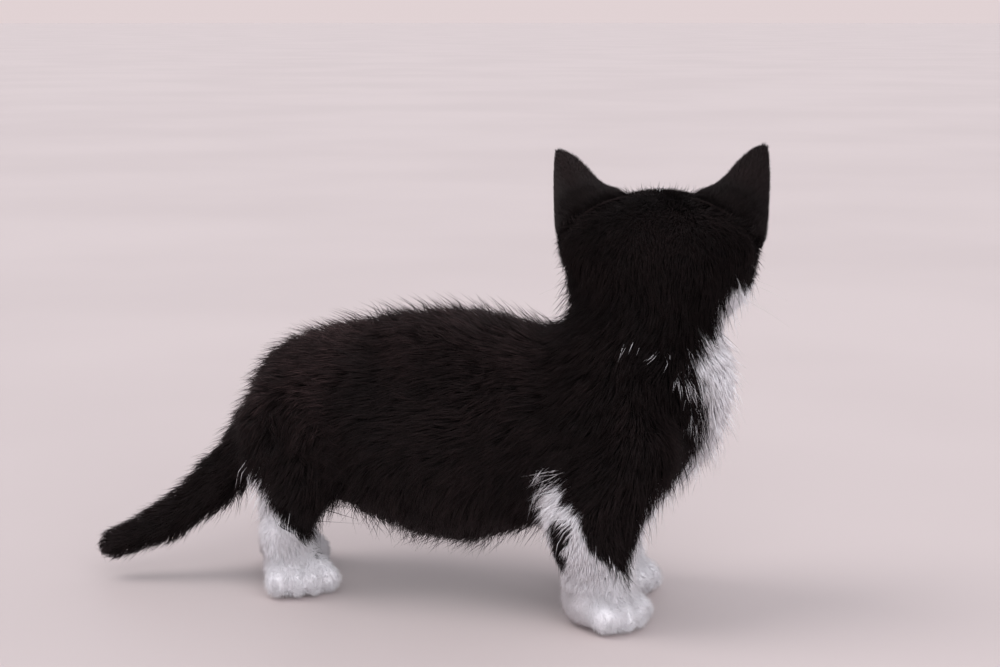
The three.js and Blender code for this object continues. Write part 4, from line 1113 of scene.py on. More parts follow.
def in_cup(p, side, clear):
    """Points pushed forward where they lie behind the cup's inner face or too close to it."""
    s, t = np.meshgrid(np.linspace(0, EAR["end"], 40), np.linspace(0.02, 0.98, 36), indexing="ij")
    place, inward, _, _ = (values.reshape(-1, 3) for values in ear_frame(s, t, side))
    near = np.concatenate([
        np.argmin(((part[:, None] - place) ** 2).sum(-1), 1) for part in np.array_split(p, len(p) // 400 + 1)
    ])
    front = ((p - place[near]) * inward[near]).sum(-1)
    return p + inward[near] * np.maximum(clear - front, 0)[:, None]


def grow_ear(name, side, rng):
    """Short velvet on the back, a fringe at the rims and fine pale hair across the cup."""
    def set_hairs(s, t, inside, out, high, long, spread, radius, white, shade):
        given = (inside, high, radius, white)
        inside, high, radius, white = (np.broadcast_to(value, s.shape) for value in given)
        p, inward, tipward, outward = ear_frame(s, t, side)
        n = np.where(inside[:, None], inward, -inward)
        root = p - inward * np.where(inside, 0, ear_thickness(s, t))[:, None]
        lie = unit(tipward + outward * out[:, None])
        lie = turned(lie, n, rng.normal(0, spread, len(s)))
        tip = root + lie * long[:, None] + n * high[:, None]
        middle = root + lie * (0.5 * long)[:, None] + n * (0.75 * high)[:, None]
        if inside.all():
            middle, tip = in_cup(middle, side, 0.5), in_cup(tip, side, 0.8)
        root, middle, tip = from_head(root - n * EAR_SUNK), from_head(middle), from_head(tip)
        n = n @ HEAD_AXES
        keep = in_turns(skin, root) >= EAR_BURIED
        corner = np.array([EAR_CORNERS[(name, int(i))] for i in inside])
        uv = np.stack((t * EAR_MAP[0], s * EAR_MAP[1]), -1) * MAP_SCALE + corner
        if long.max() > EAR_BENT:
            path, widths = np.stack((root, middle, tip), 1), radius[:, None] * np.array((1, 0.75))
        else:
            path, widths = np.stack((root, tip), 1), radius[:, None]
        add_tufts("coat_ears", path[keep], widths[keep], n[keep], uv[keep], white[keep], shade[keep])

    def even(count):
        return (np.arange(count) + rng.random(count)) / count

    def anywhere(low, high):
        return rng.uniform(low, high, count)

    # Back
    count = EAR_HAIRS["back"]
    s = 1 - np.sqrt(1 - even(count) * 0.995)
    s = s * (EAR["end"] + 0.06) - 0.06
    t = rng.random(count)
    grade = ramp(-s, -0.5, 0.1)
    # Hair lighter towards the ear's tip is painted sheen on the back of the ear.
    shade = anywhere(0.1, 0.6) + 2.2 * ramp(s, 0.2, 0.5) * rng.random(count)
    set_hairs(s, t, False, 0.5 * (t - 0.5), 0.4 + 0.7 * grade, 2.0 + 2.4 * grade, 0.2, 0.11, 0.0, shade)
    # Rims
    count = EAR_HAIRS["rim"]
    s = even(count) ** 0.8 * EAR["end"]
    t = np.where(rng.random(count) < 0.5, anywhere(0.0, 0.05), anywhere(0.95, 1))
    open_out = 1.6 * np.sign(t - 0.5) * (1 - 0.8 * ramp(s, 0.7, 0.92))
    set_hairs(
        s, t, rng.random(count) < 0.5, open_out, anywhere(0, 0.5), anywhere(1.0, 2.4), 0.25, 0.08, 0.0,
        anywhere(0.2, 0.8),
    )
    # End of the tip
    count = EAR_HAIRS["end"]
    s = anywhere(0.9, 1) * EAR["end"]
    t = rng.random(count)
    set_hairs(
        s, t, rng.random(count) < 0.4, 0.6 * (t - 0.5), anywhere(0, 0.3), anywhere(0.6, 1.7), 0.3, 0.08, 0.0,
        anywhere(0.2, 0.6),
    )
    # Crease at the back of the root
    count = EAR_HAIRS["crease"]
    t = anywhere(0.1, 0.92)
    low = np.sin(math.pi * t)
    s = anywhere(-0.06, 0.1 + 0.12 * low)
    set_hairs(
        s, t, False, 0.4 * (t - 0.5), anywhere(0.3, 0.5 + 1.4 * low), anywhere(3, 3.5 + 2.5 * low), 0.35,
        0.1, 0.0, anywhere(0.05, 0.3),
    )
    # Inside: thin down all over, and long pale hair from the inner edge and the root
    count = EAR_HAIRS["down"]
    s = rng.random(count) ** 0.8 * 0.86
    t = anywhere(0.06, 0.94)
    pale = rng.random(count) < 0.3 * ramp(-s, -0.6, -0.3)
    set_hairs(
        s, t, True, rng.normal(0, 0.3, count), 0.3, anywhere(1, 1.8), 0.4, 0.06, pale.astype(float),
        anywhere(0.5, 1),
    )
    count = EAR_HAIRS["long"]
    s = rng.random(count) ** 1.5 * 0.5
    t = np.where(rng.random(count) < 0.75, anywhere(0.02, 0.2), anywhere(0.8, 0.97))
    fore = t < 0.5
    set_hairs(
        s, t, True, np.where(fore, 1.0, -0.3) * anywhere(0.3, 1), anywhere(1.5, 4.5),
        np.where(fore, anywhere(5, 12), anywhere(1.5, 3)), 0.25, 0.05,
        (rng.random(count) < 0.85).astype(float), anywhere(0.5, 1),
    )


# Eyes, nose leather and whiskers

IRIS = dict(radius=6.3, out=4.25, bowl=0.7)
PUPIL = (1.75, 3.1)
CORNEA = dict(out=1.36, radius=6.93, shift=0.25, thin=0.1)
NOSE_BOX, NOSE_STEP = ((29.5, 37), (-5.6, 5.6), (-9.4, -0.9)), 0.24
NOSE_PARTS = (
    ((33.3, 0, -3.9), (2.6, 3.6, 2.2)),
    ((33.0, 2.6, -5.0), (2.3, 1.9, 1.7)),
    ((33.0, -2.6, -5.0), (2.3, 1.9, 1.7)),
    ((32.8, 0, -6.3), (2.2, 1.6, 1.9)),
)
NOSE_CLEFT = ((36.2, 0, -3.6), (35.6, 0, -6), (34.5, 0, -8.6))
NOSTRIL = ((36.2, 1.35, -4.5), (35.2, 2.5, -4.9), (34.2, 3.9, -6.0))


def lathe(profile, turns=72):
    """Points and faces of a closed turned form from (out, radius) pairs, starting and ending on the axis."""
    profile = np.array(profile, float)
    angle = np.linspace(0, 2 * math.pi, turns, endpoint=False)
    rings = profile[1:-1]
    points = np.stack((
        np.repeat(rings[:, 0], turns),
        (rings[:, 1, None] * np.cos(angle)).ravel(),
        (rings[:, 1, None] * np.sin(angle)).ravel(),
    ), -1)
    ends = np.array([(profile[0, 0], 0, 0), (profile[-1, 0], 0, 0)])
    faces, step = [], np.arange(turns)
    after = (step + 1) % turns
    for i in range(len(rings) - 1):
        a, b = i * turns + step, i * turns + after
        faces += [np.stack((a, b, b + turns), -1), np.stack((a, b + turns, a + turns), -1)]
    first, last = len(points), len(points) + 1
    low = np.full(turns, first)
    high = np.full(turns, last)
    top = (len(rings) - 1) * turns
    faces += [np.stack((after, step, low), -1), np.stack((top + step, top + after, high), -1)]
    return np.concatenate((points, ends)), np.concatenate(faces)


def eyeball():
    """A ball whose front is a shallow iris bowl."""
    radius, limb = EYE["radius"], math.acos(IRIS["out"] / EYE["radius"])
    back = np.linspace(math.pi, limb, 26)
    profile = [(radius * math.cos(t), radius * math.sin(t)) for t in back]
    for share in np.linspace(0.97, 0, 24)[:-1]:
        r = IRIS["radius"] * share
        depth = IRIS["bowl"] * ramp(np.array(1 - share), 0, 0.22) - 0.25 * (1 - share) + 0.03
        profile.append((IRIS["out"] - float(depth), r))
    profile.append((IRIS["out"] - IRIS["bowl"] + 0.25, 0))
    return lathe(profile)


def cornea():
    """A thin clear lens over the iris."""
    def cap(out, radius, turns):
        return [(out + radius * math.cos(t), radius * math.sin(t)) for t in turns]

    wide = math.asin(IRIS["radius"] / CORNEA["radius"])
    outer = cap(CORNEA["out"], CORNEA["radius"], np.linspace(wide, 0, 22))
    inner = cap(CORNEA["out"] - CORNEA["shift"], CORNEA["radius"] - CORNEA["thin"], np.linspace(0, wide, 12))
    return lathe(inner + outer)


def nose_hull(h):
    return melt(1.6, *[ellipsoid(h, *part) for part in NOSE_PARTS])


def nose_form(h):
    form = nose_hull(h)
    for side in (1, -1):
        q = h * (1, side, 1)
        slot = np.minimum(
            taper(q, NOSTRIL[0], NOSTRIL[1], 0.85, 0.8),
            taper(q, NOSTRIL[1], NOSTRIL[2], 0.8, 0.35),
        )
        form = carve(0.5, form, slot)
    return carve(0.4, form, along_line(h, NOSE_CLEFT) - 0.28)


def nose_net():
    lines = [even_lines(low, (high, NOSE_STEP)) for low, high in NOSE_BOX]
    return net(lambda p: nose_form(in_head(p)), lines, from_head, 2)


def rod(path, radius, sides=6):
    """A tapered hair round a path of points."""
    path, radius = np.asarray(path, float), np.asarray(radius, float)
    ahead = unit(np.gradient(path, axis=0))
    side = unit(np.cross(ahead, (0.3, 0.2, 1.0)))
    up = np.cross(side, ahead)
    turn = np.linspace(0, 2 * math.pi, sides, endpoint=False)
    around = np.cos(turn)[None, :, None] * side[:, None] + np.sin(turn)[None, :, None] * up[:, None]
    points = (path[:, None] + radius[:, None, None] * around).reshape(-1, 3)
    points = np.concatenate((points, path[:1], path[-1:]))
    faces = []
    rings = len(path)
    for i in range(rings - 1):
        for k in range(sides):
            a, b = i * sides + k, i * sides + (k + 1) % sides
            faces += [(b, a, a + sides), (b, a + sides, b + sides)]
    for k in range(sides):
        a, b = k, (k + 1) % sides
        top = (rings - 1) * sides
        faces += [(a, b, rings * sides), (top + b, top + a, rings * sides + 1)]
    return points, np.array(faces)


# Heights, numbers and rises of the rows, and the bend and radius of a whisker
WHISKER_ROWS = ((-7.2, 3, 0.16), (-9, 4, 0.02), (-10.8, 4, -0.14))
LIP_WHISKER = (np.array((-0.16, 0, -0.2)), 0.1)
BROW_WHISKER = (np.array((-0.35, 0.12, -0.12)), 0.065)


def whiskers(rng):
    """Rows of whiskers on the lip pads and a few over each eye, in the head's frame."""
    hairs = []
    for _, side in SIDES:
        for row, (u, many, high) in enumerate(WHISKER_ROWS):
            for i in range(many):
                root = (30.4 - 2.3 * i - 0.5 * row, 6.2 + 1.0 * i, u + 0.25 * i)
                sweep = unit(np.array((0.34 - 0.24 * i, 1, high + rng.normal(0, 0.03))))
                long = 24 + 3.2 * i - abs(i - 2.5) * 1.5 + rng.uniform(-2, 2)
                hairs.append((root, sweep, long, *LIP_WHISKER, side))
        for i in range(3):
            root = (19.5 - 1.2 * i, 8.5 + 2.2 * i, 11.5 - 0.4 * i)
            sweep = unit(np.array((0.35, 0.35 + 0.2 * i, 0.95)))
            hairs.append((root, sweep, 13 + 1.5 * i, *BROW_WHISKER, side))
    points, faces, start = [], [], 0
    t = np.linspace(0, 1, 12)[:, None]
    for root, sweep, long, bend, thick, side in hairs:
        root = settle([root], bare_face)[0]
        path = root - sweep * 0.8 + sweep * (long * t) + bend * (long * t ** 2)
        rod_points, rod_faces = rod(path * (1, side, 1), thick * (1 - 0.86 * t[:, 0] ** 1.3))
        points.append(rod_points)
        faces.append((rod_faces if side > 0 else rod_faces[:, ::-1]) + start)
        start += len(rod_points)
    return from_head(np.concatenate(points)), np.concatenate(faces)


# Finishes

def new_group(name, inputs, outputs):
    """A shader node group with named values and colours in and out."""
    group = bpy.data.node_groups.new(name, "ShaderNodeTree")
    kinds = dict(value="NodeSocketFloat", colour="NodeSocketColor", vector="NodeSocketVector")
    for in_out, sockets in (("INPUT", inputs), ("OUTPUT", outputs)):
        for label, kind, start in sockets:
            socket = group.interface.new_socket(name=label, in_out=in_out, socket_type=kinds[kind])
            if start is not None:
                socket.default_value = start
    return group, group.nodes.new("NodeGroupInput"), group.nodes.new("NodeGroupOutput")


class Wiring:
    """Short calls for joining nodes in one tree."""

    def __init__(self, tree):
        self.tree = tree

    def node(self, kind, **settings):
        node = self.tree.nodes.new(kind)
        for key, value in settings.items():
            setattr(node, key, value)
        return node

    def join(self, source, target):
        self.tree.links.new(source, target)

    def feed(self, socket, value):
        if hasattr(value, "is_output"):
            self.join(value, socket)
        elif value is not None:
            socket.default_value = value

    def maths(self, how, a, b=None, c=None, clamp=False):
        node = self.node("ShaderNodeMath", operation=how, use_clamp=clamp)
        for socket, value in zip(node.inputs, (a, b, c)):
            self.feed(socket, value)
        return node.outputs[0]

    def blend(self, share, a, b, clamp=True):
        node = self.node("ShaderNodeMix", data_type="RGBA", clamp_factor=clamp)
        for socket, value in zip((node.inputs[0], node.inputs[6], node.inputs[7]), (share, a, b)):
            self.feed(socket, value)
        return node.outputs[2]

    def between(self, value, low, high, to_low=0.0, to_high=1.0, smooth=True):
        node = self.node("ShaderNodeMapRange", interpolation_type="SMOOTHSTEP" if smooth else "LINEAR")
        for socket, item in zip(node.inputs, (value, low, high, to_low, to_high)):
            self.feed(socket, item)
        return node.outputs[0]

    def noise(self, vector, scale, detail=2.0, rough=0.5):
        node = self.node("ShaderNodeTexNoise")
        self.feed(node.inputs["Vector"], vector)
        node.inputs["Scale"].default_value = scale
        node.inputs["Detail"].default_value = detail
        node.inputs["Roughness"].default_value = rough
        return node.outputs[0]

    def stretched(self, vector, scale):
        node = self.node("ShaderNodeVectorMath", operation="MULTIPLY")
        self.feed(node.inputs[0], vector)
        node.inputs[1].default_value = scale
        return node.outputs[0]

    def held(self, name):
        """A value stored on the mesh's points."""
        return self.node("ShaderNodeAttribute", attribute_name=name).outputs["Fac"]

    def spot(self):
        return self.node("ShaderNodeTexCoord").outputs["Object"]

    def patches(self, vector, scale, detail, low=0.3, high=0.7):
        """Soft patches of noise from 0 to 1."""
        return self.between(self.noise(vector, scale, detail), low, high)

    def bump(self, height, strength, distance):
        node = self.node("ShaderNodeBump")
        node.inputs["Strength"].default_value = strength
        node.inputs["Distance"].default_value = distance
        self.feed(node.inputs["Height"], height)
        return node.outputs[0]

    def use(self, group, **values):
        node = self.node("ShaderNodeGroup", node_tree=group)
        for key, value in values.items():
            self.feed(node.inputs[key.replace("_", " ")], value)
        return node


def colour(r, g, b):
    return (r, g, b, 1.0)


def hair_colour_group():
    """Black or white hair, lighter towards the tip, with soft patches."""
    group, given, result = new_group(
        "hair colour",
        (
            ("white", "value", 0.0), ("along", "value", 0.5), ("shade", "value", 0.5),
            ("dark root", "colour", BLACK_ROOT), ("dark tip", "colour", BLACK_TIP),
            ("light root", "colour", WHITE_ROOT), ("light tip", "colour", WHITE_TIP),
        ),
        (("colour", "colour", None),),
    )
    w = Wiring(group)
    spot = w.spot()
    patch = w.between(w.noise(spot, 55, 3, 0.55), 0.3, 0.7)
    # The shade value lifts dark hair towards its tip colour and lightens white hair; it holds the hair's own
    # tone and also painted sheen, painted floor bounce and painted glints.
    lift = w.maths("MULTIPLY_ADD", given.outputs["shade"], 0.7, 0.3)
    lift = w.maths("MULTIPLY", lift, given.outputs["along"])
    lift = w.maths("MULTIPLY", lift, w.maths("MULTIPLY_ADD", patch, 0.6, 0.7))
    dark = w.blend(lift, given.outputs["dark root"], given.outputs["dark tip"], clamp=False)
    pale = w.maths("MULTIPLY_ADD", given.outputs["along"], 0.75, 0.25)
    pale = w.maths("MULTIPLY", pale, w.maths("MULTIPLY_ADD", given.outputs["shade"], 0.35, 0.75), clamp=True)
    light = w.blend(pale, given.outputs["light root"], given.outputs["light tip"])
    w.join(w.blend(given.outputs["white"], dark, light), result.inputs["colour"])
    return group


def short_hair_group():
    """The height of short flat hairs, as fine streaks along one direction."""
    group, given, result = new_group(
        "short hair",
        (("place", "vector", None), ("fineness", "value", 1.0)),
        (("height", "value", None), ("mask", "value", None)),
    )
    w = Wiring(group)
    scaled = w.node("ShaderNodeVectorMath", operation="SCALE")
    w.join(given.outputs["place"], scaled.inputs[0])
    w.join(given.outputs["fineness"], scaled.inputs["Scale"])
    bent = w.node("ShaderNodeVectorMath", operation="MULTIPLY_ADD")
    wander = w.node("ShaderNodeTexNoise")
    w.join(scaled.outputs[0], wander.inputs["Vector"])
    wander.inputs["Scale"].default_value = 90
    w.join(wander.outputs["Color"], bent.inputs[0])
    bent.inputs[1].default_value = (0.004, 0.004, 0.004)
    w.join(scaled.outputs[0], bent.inputs[2])
    streak = w.noise(w.stretched(bent.outputs[0], (1.0, 0.35, 0.5)), 2600, 2, 0.6)
    w.join(streak, result.inputs["height"])
    w.join(w.between(streak, 0.35, 0.65), result.inputs["mask"])
    return group


def finish(name, **settings):
    """A new material with its Principled BSDF set, and short calls for its nodes."""
    material = bpy.data.materials.new(name)
    material.use_nodes = True
    tree = material.node_tree
    shader = tree.nodes["Principled BSDF"]
    for key, value in settings.items():
        shader.inputs[key.replace("_", " ")].default_value = value
    return material, shader, Wiring(tree)


BLACK_ROOT, BLACK_TIP = colour(0.0028, 0.0016, 0.0016), colour(0.021, 0.0128, 0.0128)
WHITE_ROOT, WHITE_TIP = colour(0.88, 0.855, 0.885), colour(0.95, 0.94, 0.97)
HAIR_COLOUR = hair_colour_group()
SHORT_HAIR = short_hair_group()
TINT = dict(
    sheen=colour(0.75, 0.66, 0.66),
    rose_dark=colour(0.46, 0.21, 0.19), rose_light=colour(0.60, 0.31, 0.28),
    rim=colour(0.012, 0.008, 0.009),
    nose_dark=colour(0.42, 0.17, 0.155), nose_light=colour(0.56, 0.27, 0.24),
    nose_seam=colour(0.25, 0.09, 0.08), nostril=colour(0.05, 0.015, 0.012),
    pupil=colour(0.002, 0.002, 0.002), iris_rim=colour(0.008, 0.010, 0.014),
    iris_inner=colour(0.24, 0.34, 0.33), iris_outer=colour(0.10, 0.19, 0.27),
    iris_fibre=colour(0.34, 0.47, 0.50), iris_gold=colour(0.34, 0.33, 0.16),
    ball=colour(0.62, 0.56, 0.53), ball_pink=colour(0.55, 0.38, 0.34),
    whisker_dark=colour(0.62, 0.58, 0.56), whisker_light=colour(0.9, 0.88, 0.86),
    floor_dark=colour(0.545, 0.472, 0.466), floor_light=colour(0.58, 0.504, 0.497),
    room_low=colour(0.79, 0.68, 0.69), room_high=colour(0.81, 0.81, 0.86),
)


def kitten_hair(w, along):
    """The kitten's own hair colour, black or white by the markings held on the mesh."""
    hair = w.use(
        HAIR_COLOUR, white=w.held("white"), along=along, shade=w.held("shade"),
        dark_root=BLACK_ROOT, dark_tip=BLACK_TIP, light_root=WHITE_ROOT, light_tip=WHITE_TIP,
    )
    return hair.outputs["colour"]


def coat_finish():
    """Slightly glossy where the hair is dark and dull where it is white."""
    material, shader, w = finish(
        "kitten coat", Roughness=0.5, Specular_IOR_Level=0.09,
        Sheen_Weight=0.03, Sheen_Roughness=0.5, Sheen_Tint=TINT["sheen"],
    )
    w.join(kitten_hair(w, w.held("along")), shader.inputs["Base Color"])
    by_shade = w.between(w.held("shade"), 0, 1, 0.58, 0.44)
    by_white = w.between(w.held("white"), 0, 1, 0, 0.8)
    w.join(w.maths("MAXIMUM", by_shade, by_white), shader.inputs["Roughness"])
    return material


def skin_finish():
    material, shader, w = finish("kitten skin and down", Roughness=0.75, Specular_IOR_Level=0.08)
    spot = w.spot()
    down = w.use(SHORT_HAIR, place=spot, fineness=1.0)
    hair = kitten_hair(w, w.between(down.outputs["mask"], 0, 1, 0.1, 0.75))
    rose = w.blend(w.patches(spot, 400, 3), TINT["rose_dark"], TINT["rose_light"])
    covered = w.blend(w.held("bare"), hair, rose)
    w.join(w.blend(w.held("rim"), covered, TINT["rim"]), shader.inputs["Base Color"])
    w.join(w.bump(down.outputs["height"], 0.55, 0.0003), shader.inputs["Normal"])
    w.join(w.between(w.held("rim"), 0, 1, 0.75, 0.4), shader.inputs["Roughness"])
    return material


def nose_finish():
    material, shader, w = finish(
        "nose leather", Roughness=0.36, Specular_IOR_Level=0.5,
        Subsurface_Weight=0.15, Subsurface_Radius=(0.0012, 0.0005, 0.0003),
    )
    spot = w.spot()
    pebble = w.node("ShaderNodeTexVoronoi", feature="DISTANCE_TO_EDGE")
    pebble.inputs["Scale"].default_value = 2300
    w.join(spot, pebble.inputs["Vector"])
    cells = w.between(pebble.outputs["Distance"], 0.0, 0.25)
    tone = w.blend(w.patches(spot, 300, 3, 0.35, 0.65), TINT["nose_dark"], TINT["nose_light"])
    tone = w.blend(w.maths("MULTIPLY", w.maths("SUBTRACT", 1.0, cells), 0.35), tone, TINT["nose_seam"])
    # Painted shade: the nostril openings are painted near black for the dark inside them.
    w.join(w.blend(w.held("hollow"), tone, TINT["nostril"]), shader.inputs["Base Color"])
    w.join(w.bump(cells, 0.35, 0.00012), shader.inputs["Normal"])
    w.join(w.between(w.noise(spot, 900, 2), 0.3, 0.7, 0.28, 0.46), shader.inputs["Roughness"])
    return material


def iris_finish():
    material, shader, w = finish("kitten iris", Roughness=0.5, Specular_IOR_Level=0.05)
    place = w.node("ShaderNodeAttribute", attribute_name="place")
    apart = w.node("ShaderNodeSeparateXYZ")
    w.join(place.outputs["Vector"], apart.inputs[0])
    out, across, up = apart.outputs

    def hypot(a, b):
        return w.maths("SQRT", w.maths("ADD", w.maths("MULTIPLY", a, a), w.maths("MULTIPLY", b, b)))

    radius = hypot(across, up)
    angle = w.maths("ARCTAN2", up, across)
    ring = w.node("ShaderNodeCombineXYZ")
    w.join(w.maths("MULTIPLY", w.maths("COSINE", angle), 9.0), ring.inputs[0])
    w.join(w.maths("MULTIPLY", w.maths("SINE", angle), 9.0), ring.inputs[1])
    w.join(w.maths("MULTIPLY", radius, 0.28), ring.inputs[2])
    fibres = w.noise(ring.outputs[0], 2.6, 5, 0.62)
    share = w.maths("DIVIDE", radius, IRIS["radius"])
    base = w.blend(w.between(share, 0.35, 0.95), TINT["iris_inner"], TINT["iris_outer"])
    base = w.blend(w.between(fibres, 0.38, 0.64), base, TINT["iris_fibre"])
    inner = w.between(share, 0.62, 0.36)
    base = w.blend(w.maths("MULTIPLY", inner, 0.55), base, TINT["iris_gold"])
    base = w.blend(w.between(share, 0.88, 0.99), base, TINT["iris_rim"])
    oval = hypot(*(w.maths("DIVIDE", value, half) for value, half in zip((across, up), PUPIL)))
    base = w.blend(w.between(oval, 1.06, 0.97), base, TINT["pupil"])
    white = w.blend(w.patches(place.outputs["Vector"], 0.6, 4, 0.4), TINT["ball"], TINT["ball_pink"])
    front = w.between(out, IRIS["out"] - 1.2, IRIS["out"] - 1.0)
    inside = w.maths("MULTIPLY", front, w.between(radius, IRIS["radius"] + 0.25, IRIS["radius"] - 0.05))
    w.join(w.blend(inside, white, base), shader.inputs["Base Color"])
    w.join(w.bump(fibres, 0.5, 0.00012), shader.inputs["Normal"])
    return material


def cornea_finish():
    """Clear and glossy, so the iris shows through it."""
    material = bpy.data.materials.new("clear cornea")
    material.use_nodes = True
    w = Wiring(material.node_tree)
    w.tree.nodes.clear()
    spot = w.spot()
    clear = w.node("ShaderNodeBsdfTransparent")
    gloss = w.node("ShaderNodeBsdfGlossy")
    w.join(w.between(w.noise(spot, 500, 2), 0.3, 0.7, 0.02, 0.05), gloss.inputs["Roughness"])
    facing = w.node("ShaderNodeFresnel")
    facing.inputs["IOR"].default_value = 1.38
    outside = w.maths("SUBTRACT", 1.0, w.node("ShaderNodeNewGeometry").outputs["Backfacing"])
    both = w.node("ShaderNodeMixShader")
    w.join(w.maths("MULTIPLY", facing.outputs[0], outside), both.inputs[0])
    w.join(clear.outputs[0], both.inputs[1])
    w.join(gloss.outputs[0], both.inputs[2])
    w.join(both.outputs[0], w.node("ShaderNodeOutputMaterial").inputs["Surface"])
    return material


def whisker_finish():
    material, shader, w = finish("whisker", Roughness=0.35, Specular_IOR_Level=0.5)
    shade = w.patches(w.spot(), 130, 2, 0.35, 0.65)
    w.join(w.blend(shade, TINT["whisker_dark"], TINT["whisker_light"]), shader.inputs["Base Color"])
    return material


def floor_finish():
    material, shader, w = finish("pale floor", Roughness=0.55, Specular_IOR_Level=0.25)
    spot = w.spot()
    tone = w.blend(w.patches(spot, 2.2, 3), TINT["floor_dark"], TINT["floor_light"])
    w.join(tone, shader.inputs["Base Color"])
    return material


# Pieces

def shift_to_frame():
    """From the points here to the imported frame, found from the left eye's box, in millimetres."""
    low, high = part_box("eye_left")
    middle = (np.array(low) + np.array(high)) * 500
    return middle - from_head([EYE["at"]])[0]


SHIFT = shift_to_frame()


def new_piece(name, points, faces, material, slot, uv=None, **held):
    """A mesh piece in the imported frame, from points in millimetres, with values held on its points."""
    mesh = bpy.data.meshes.new(name)
    faces = np.asarray(faces)
    sides = faces.shape[1]
    mesh.vertices.add(len(points))
    set_points(mesh, points)
    mesh.loops.add(faces.size)
    mesh.loops.foreach_set("vertex_index", faces.ravel().astype(np.int32))
    mesh.polygons.add(len(faces))
    mesh.polygons.foreach_set("loop_start", np.arange(0, faces.size, sides, dtype=np.int32))
    smoothed(mesh)
    mesh.update(calc_edges=True)
    for key, value in held.items():
        hold(mesh, key, value)
    if uv is not None:
        layer = mesh.uv_layers.new(name="OFBake")
        layer.uv.foreach_set("vector", uv[faces.ravel()].astype(np.float32).ravel())
    mesh.materials.append(material)
    piece = bpy.data.objects.new(name, mesh)
    bpy.context.scene.collection.objects.link(piece)
    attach(piece, "root")
    return piece


def hold(mesh, key, value):
    wide = np.ndim(value) > 1
    layer = mesh.attributes.new(key, "FLOAT_VECTOR" if wide else "FLOAT", "POINT")
    layer.data.foreach_set("vector" if wide else "value", np.asarray(value, np.float32).ravel())


def smoothed(mesh):
    mesh.polygons.foreach_set("use_smooth", np.ones(len(mesh.polygons), bool))


def set_points(mesh, points):
    mesh.vertices.foreach_set("co", ((points + SHIFT) / 1000).astype(np.float32).ravel())


def points_of(mesh):
    points = np.empty(len(mesh.vertices) * 3, np.float32)
    mesh.vertices.foreach_get("co", points)
    return points.reshape(-1, 3).astype(float) * 1000 - SHIFT


def joined(base, tool):
    """One closed mesh from two that cross, and the tool is used up."""
    union = base.modifiers.new("join", "BOOLEAN")
    union.operation = "UNION"
    union.solver = "MANIFOLD"
    union.object = tool
    graph = bpy.context.evaluated_depsgraph_get()
    mesh = bpy.data.meshes.new_from_object(base.evaluated_get(graph))
    base.modifiers.clear()
    old, base.data = base.data, mesh
    bpy.data.meshes.remove(old)
    used = tool.data
    bpy.data.objects.remove(tool)
    bpy.data.meshes.remove(used)


def eased(mesh, share_of, rounds=8):
    """Points moved towards the mean of their neighbours, by a share from 0 to 1."""
    points = points_of(mesh)
    share = share_of(points)[:, None]
    ends = np.empty(len(mesh.edges) * 2, np.int32)
    mesh.edges.foreach_get("vertices", ends)
    a, b = ends.reshape(-1, 2).T
    count = np.bincount(np.concatenate((a, b)), minlength=len(points))[:, None]
    for _ in range(rounds):
        total = np.stack([
            np.bincount(a, column[b], len(points)) + np.bincount(b, column[a], len(points))
            for column in points.T
        ], -1)
        points = mix(points, total / np.maximum(count, 1), 0.5 * share)
    set_points(mesh, points)
    mesh.update()


def ear_place(h):
    """Distance to the nearer ear, share along it from its root, and whether in its cup."""
    best = np.full(len(h), FAR)
    along, inside = np.zeros(len(h)), np.zeros(len(h))
    s, t = np.meshgrid(np.linspace(-0.1, EAR["end"], 22), np.linspace(0.02, 0.98, 16), indexing="ij")
    for _, side in SIDES:
        p, inward, _, _ = ear_frame(s.ravel(), t.ravel(), side)
        own = np.nonzero((h[:, 1] * side > 6) & (h[:, 2] > 0))[0]
        for i in range(0, len(own), 20_000):
            part = own[i:i + 20_000]
            away = ((h[part, None] - p[None]) ** 2).sum(-1)
            nearest = away.argmin(1)
            near = np.sqrt(away[np.arange(len(part)), nearest])
            off = ((h[part] - p[nearest]) * inward[nearest]).sum(-1)
            better = near < best[part]
            chosen = part[better]
            best[chosen] = near[better]
            along[chosen] = s.ravel()[nearest[better]]
            inside[chosen] = off[better] > 0.35
    return best, along, inside


SKIN_LINES = (
    even_lines(-62, (6, 1.6), (38, 0.5), (62, 1.6)),
    even_lines(-44, (-21, 1.6), (21, 0.5), (206, 1.6)),
    even_lines(-122, (-98, 1.0), (-22, 1.6), (14, 0.5), (30, 1.6)),
)
FLESH = [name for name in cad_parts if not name.startswith(("eye", "nose"))]


def make_skin(points, quads, material):
    piece = new_piece("skin", points, quads, material, "fur_black")
    for name, side in SIDES:
        ear_points, ear_faces = ear_mesh(side)
        ear = new_piece("ear_" + name, ear_points, ear_faces, material, "ear_fur")
        joined(piece, ear)
    eased(piece.data, ear_joint)
    mesh = piece.data
    smoothed(mesh)
    points = points_of(mesh)
    h = in_head(points)
    away, along, inside = ear_place(h)
    on_ear = ramp(-away, -2.6, -1.4) * ramp(along, -0.08, 0.05)
    hold(mesh, "white", ramp(-white_edge(points), -0.8, 0.8) * (1 - on_ear))
    hold(mesh, "shade", np.clip(0.5 + 0.25 * ripple(points, 16, 31), 0, 1))
    hold(mesh, "bare", on_ear * inside * 0.8)
    hold(mesh, "rim", rim_share(h))
    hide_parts(*FLESH)
    return piece


def ear_joint(points):
    h = in_head(points)
    away, along, _ = ear_place(h)
    return ramp(-away, -3.2, -1.6) * ramp(-along, -0.16, -0.05)


